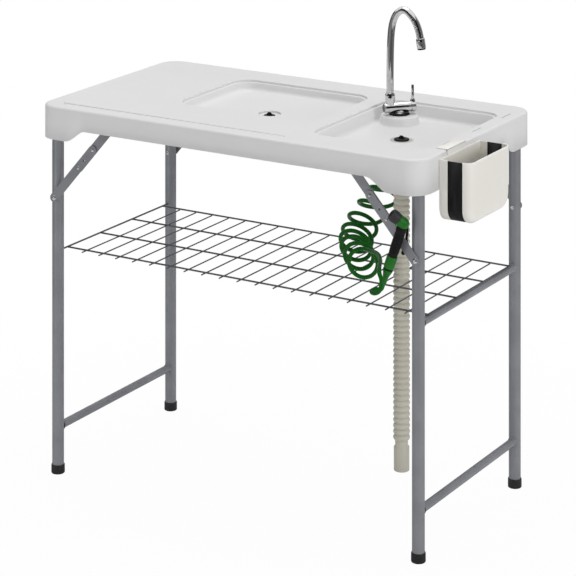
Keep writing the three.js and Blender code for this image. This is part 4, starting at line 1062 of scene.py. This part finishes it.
def gun_head():
    stem = [(0, 0), (12.2, 0), (13, 0.9), (13, 6), (12.2, 12), (10, 16.6), (6, 19.4), (0, 20.6)]
    nose = [(0, -6), (8, -5), (12, -1), (12.7, 4), (12.7, 14), (12.3, 15.6), (0, 16)]
    return joined(turned(stem, on_gun(HEAD_FOOT), GUN_AXIS), turned(nose, head_middle, NOZZLE_AIM))


gun_head_piece = finished("gun_green_head", gun_head(), fitting_green, replacing=["gun_head"])


def dial():
    outline = [(0, 0), (12.6, 0), (13.4, 0.8), (13.4, 3), (12.9, 3.4), (12.9, 4.4), (13.4, 4.8)]
    outline += [(13.4, 16), (12.4, 18.4), (11, 19), (7.4, 19), (7, 18.2), (7, 17), (0, 17)]
    bm = turned(outline)
    for i in range(24):
        rib = box((12.9, -0.7, 5.4), (14, 0.7, 15.6), 0.35, 2)
        bmesh.ops.rotate(rib, matrix=Matrix.Rotation(math.tau * i / 24, 3, "Z"), verts=rib.verts)
        joined(bm, rib)
    jets = [turned([(0, 0), (0.9, 0), (0.9, 0.9), (0, 0.9)], (4.6 * math.cos(a), 4.6 * math.sin(a), 16.8), steps=8)
            for a in (math.tau * k / 8 for k in range(8))]
    joined(bm, *jets)
    return aimed(bm, head_middle + NOZZLE_AIM * 16.3, NOZZLE_AIM)


gun_dial = finished("gun_knurled_dial", dial(), dial_black, body="dial", replacing=["gun_dial"])


def trigger():
    top, bend, tip = Vector((472, -263.2, 752)), Vector((474, -247, 738)), Vector((457, -248, 676))
    shares = [i / 16 for i in range(17)]
    arm = swept([top * (1 - t) ** 2 + bend * 2 * t * (1 - t) + tip * t * t for t in shares], 3, 20)
    pad = [(0, 0), (2.6, 0.3), (4.4, 1.6), (5, 4), (4.8, 20), (3.8, 32), (3, 36), (0, 37)]
    return joined(arm, turned(pad, tip, bend - tip, 24))


gun_trigger = finished(
    "gun_trigger_lever", trigger(), fitting_black, body="trigger", replacing=["gun_trigger"]
)
tuple(TO_FRAME @ route[0])


# %% The joiner under the tap
def hose_joiner():
    outline = [(0, 0), (7.9, 0), (8.5, 0.6), (8.5, 11.4), (9.4, 12.6), (11.4, 15), (12, 16.4)]
    for i in range(3):
        z = 17 + i * 3.6
        outline += [(12, z), (11.4, z + 0.6), (11.4, z + 1.6), (12, z + 2.2)]
    outline += [(12, 29), (11.2, 30), (0, 30)]
    return turned(outline, (BOSS_X, BOSS_Y, JOINER_Z))


finished("tap_hose_joiner", hose_joiner(), fitting_green, replacing=["hose_joiner"])

# %% [markdown]
# The pieces whose plain solids are already right keep them, and only get their finish: the pressed saddles, the
# brackets and the nuts, which all sit in the shade under the worktop.

# %% Finishes for the solids that stay
for name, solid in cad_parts.items():
    if name.startswith(("saddle_", "brace_bracket_")) or name == "tap_nut":
        solid.material_slots[0].material = zinc_plate
    if name.startswith("waste_nut_"):
        solid.material_slots[0].material = fitting_white

# %% [markdown]
# A catalogue photograph is lit by big soft boxes on white. The world gives an even fill, one large lamp above and
# behind lights the top, and two weaker ones model the front and the right end.

# %% Studio
STAGE_WHITE = rgb(1, 1, 1)


def soft_box(name, at, target, size, power):
    lamp = bpy.data.lights.new(name, "AREA")
    lamp.shape = "DISK"
    lamp.size = size
    lamp.energy = power
    holder = bpy.data.objects.new(name, lamp)
    holder.location = at
    holder.rotation_euler = (Vector(target) - Vector(at)).to_track_quat("-Z", "Y").to_euler()
    bpy.context.scene.collection.objects.link(holder)


soft_box("top_box", (-0.3, 0.5, 4.2), (0, 0, 0.8), 2.4, 54)
soft_box("end_box", (4.2, -0.9, 1.7), (0.2, 0, 0.7), 2.0, 50)
soft_box("front_box", (-1.6, -4.4, 0.5), (0, 0, 0.6), 1.2, 22)

world = bpy.data.worlds.new("studio")
bpy.context.scene.world = world
world.use_nodes = True
sky = world.node_tree
sky.nodes.clear()
rays = sky.nodes.new("ShaderNodeLightPath")
seen = rays.outputs["Is Camera Ray"]
for kind in ("Is Glossy Ray", "Is Transmission Ray"):
    either = sky.nodes.new("ShaderNodeMath")
    either.operation = "MAXIMUM"
    sky.links.new(seen, either.inputs[0])
    sky.links.new(rays.outputs[kind], either.inputs[1])
    seen = either.outputs[0]
fill_light = sky.nodes.new("ShaderNodeBackground")
fill_light.inputs["Color"].default_value = STAGE_WHITE
fill_light.inputs["Strength"].default_value = 0.46
backdrop = sky.nodes.new("ShaderNodeBackground")
backdrop.inputs["Color"].default_value = STAGE_WHITE
backdrop.inputs["Strength"].default_value = 1.0
chooser = sky.nodes.new("ShaderNodeMixShader")
sky.links.new(seen, chooser.inputs[0])
sky.links.new(fill_light.outputs[0], chooser.inputs[1])
sky.links.new(backdrop.outputs[0], chooser.inputs[2])
output = sky.nodes.new("ShaderNodeOutputWorld")
sky.links.new(chooser.outputs[0], output.inputs["Surface"])


# %% [markdown]
# Polished metal only looks like metal where it has something dark to mirror. As in a real studio, dark cards stand
# round the set. They show in reflections alone, so they cost the object no light.

# %% Dark cards for the chrome to mirror
CARD_REACH = 2000


def card(name, azimuth_deg, width, foot, top, tone):
    bm = plate(-width / 2, width / 2, foot, top, 40)
    bm.faces.ensure_lookup_table()
    stand_up = Matrix.Rotation(math.radians(90), 4, "X")
    turn = Matrix.Rotation(math.radians(azimuth_deg + 90), 4, "Z")
    bmesh.ops.transform(bm, matrix=turn @ Matrix.Translation((0, -CARD_REACH, 0)) @ stand_up, verts=bm.verts)
    bmesh.ops.transform(bm, matrix=TO_FRAME, verts=bm.verts)
    mesh = bpy.data.meshes.new(name)
    bm.to_mesh(mesh)
    bm.free()
    made = bpy.data.objects.new(name, mesh)
    bpy.context.scene.collection.objects.link(made)
    for kind in ("camera", "diffuse", "transmission", "volume_scatter", "shadow"):
        setattr(made, "visible_" + kind, False)
    felt = Finish(name + "_felt")
    matt = felt.node("Emission", None, rgb(tone, tone, tone), 1.0)
    felt.tree.links.new(matt.socket, felt.tree.nodes["Material Output"].inputs["Surface"])
    mesh.materials.append(felt.material)


card("dark_card_front", -48, 2500, 960, 3000, 0.02)
card("dark_card_left", -113, 2300, 960, 3000, 0.02)
card("low_card_front", -38, 2400, 20, 940, 0.10)
card("right_card", 16, 2900, 20, 3000, 0.16)
card("back_card", 98, 2900, 20, 1700, 0.22)
card("low_card_left", -112, 3800, 20, 940, 0.22)
card("far_left_card", 176, 2800, 20, 1700, 0.10)


def floor():
    bm = disc(0, 0, 9000, 0, 96)
    bmesh.ops.transform(bm, matrix=Matrix.Scale(MM, 4), verts=bm.verts)
    mesh = bpy.data.meshes.new("floor")
    bm.to_mesh(mesh)
    bm.free()
    made = bpy.data.objects.new("floor", mesh)
    bpy.context.scene.collection.objects.link(made)
    paper = Finish("floor_paper")
    paper.done(Base_Color=rgb(0.86, 0.86, 0.86), Roughness=0.9)
    reach = paper.node("VectorMath", {"operation": "LENGTH"}, paper.where, output="Value")
    glow = paper.node("Emission", None, STAGE_WHITE, 1.0)
    straight = paper.node("LightPath", output="Is Camera Ray")
    share = straight * (0.97 + reach.above(0.55, 1.5) * 0.03)
    matt = Signal(paper, paper.shader.outputs[0])
    blend = paper.node("MixShader", None, share, matt, glow)
    paper.tree.links.new(blend.socket, paper.tree.nodes["Material Output"].inputs["Surface"])
    paper = paper.material
    mesh.materials.append(paper)


floor()
bpy.context.scene.view_settings.view_transform = "Standard"
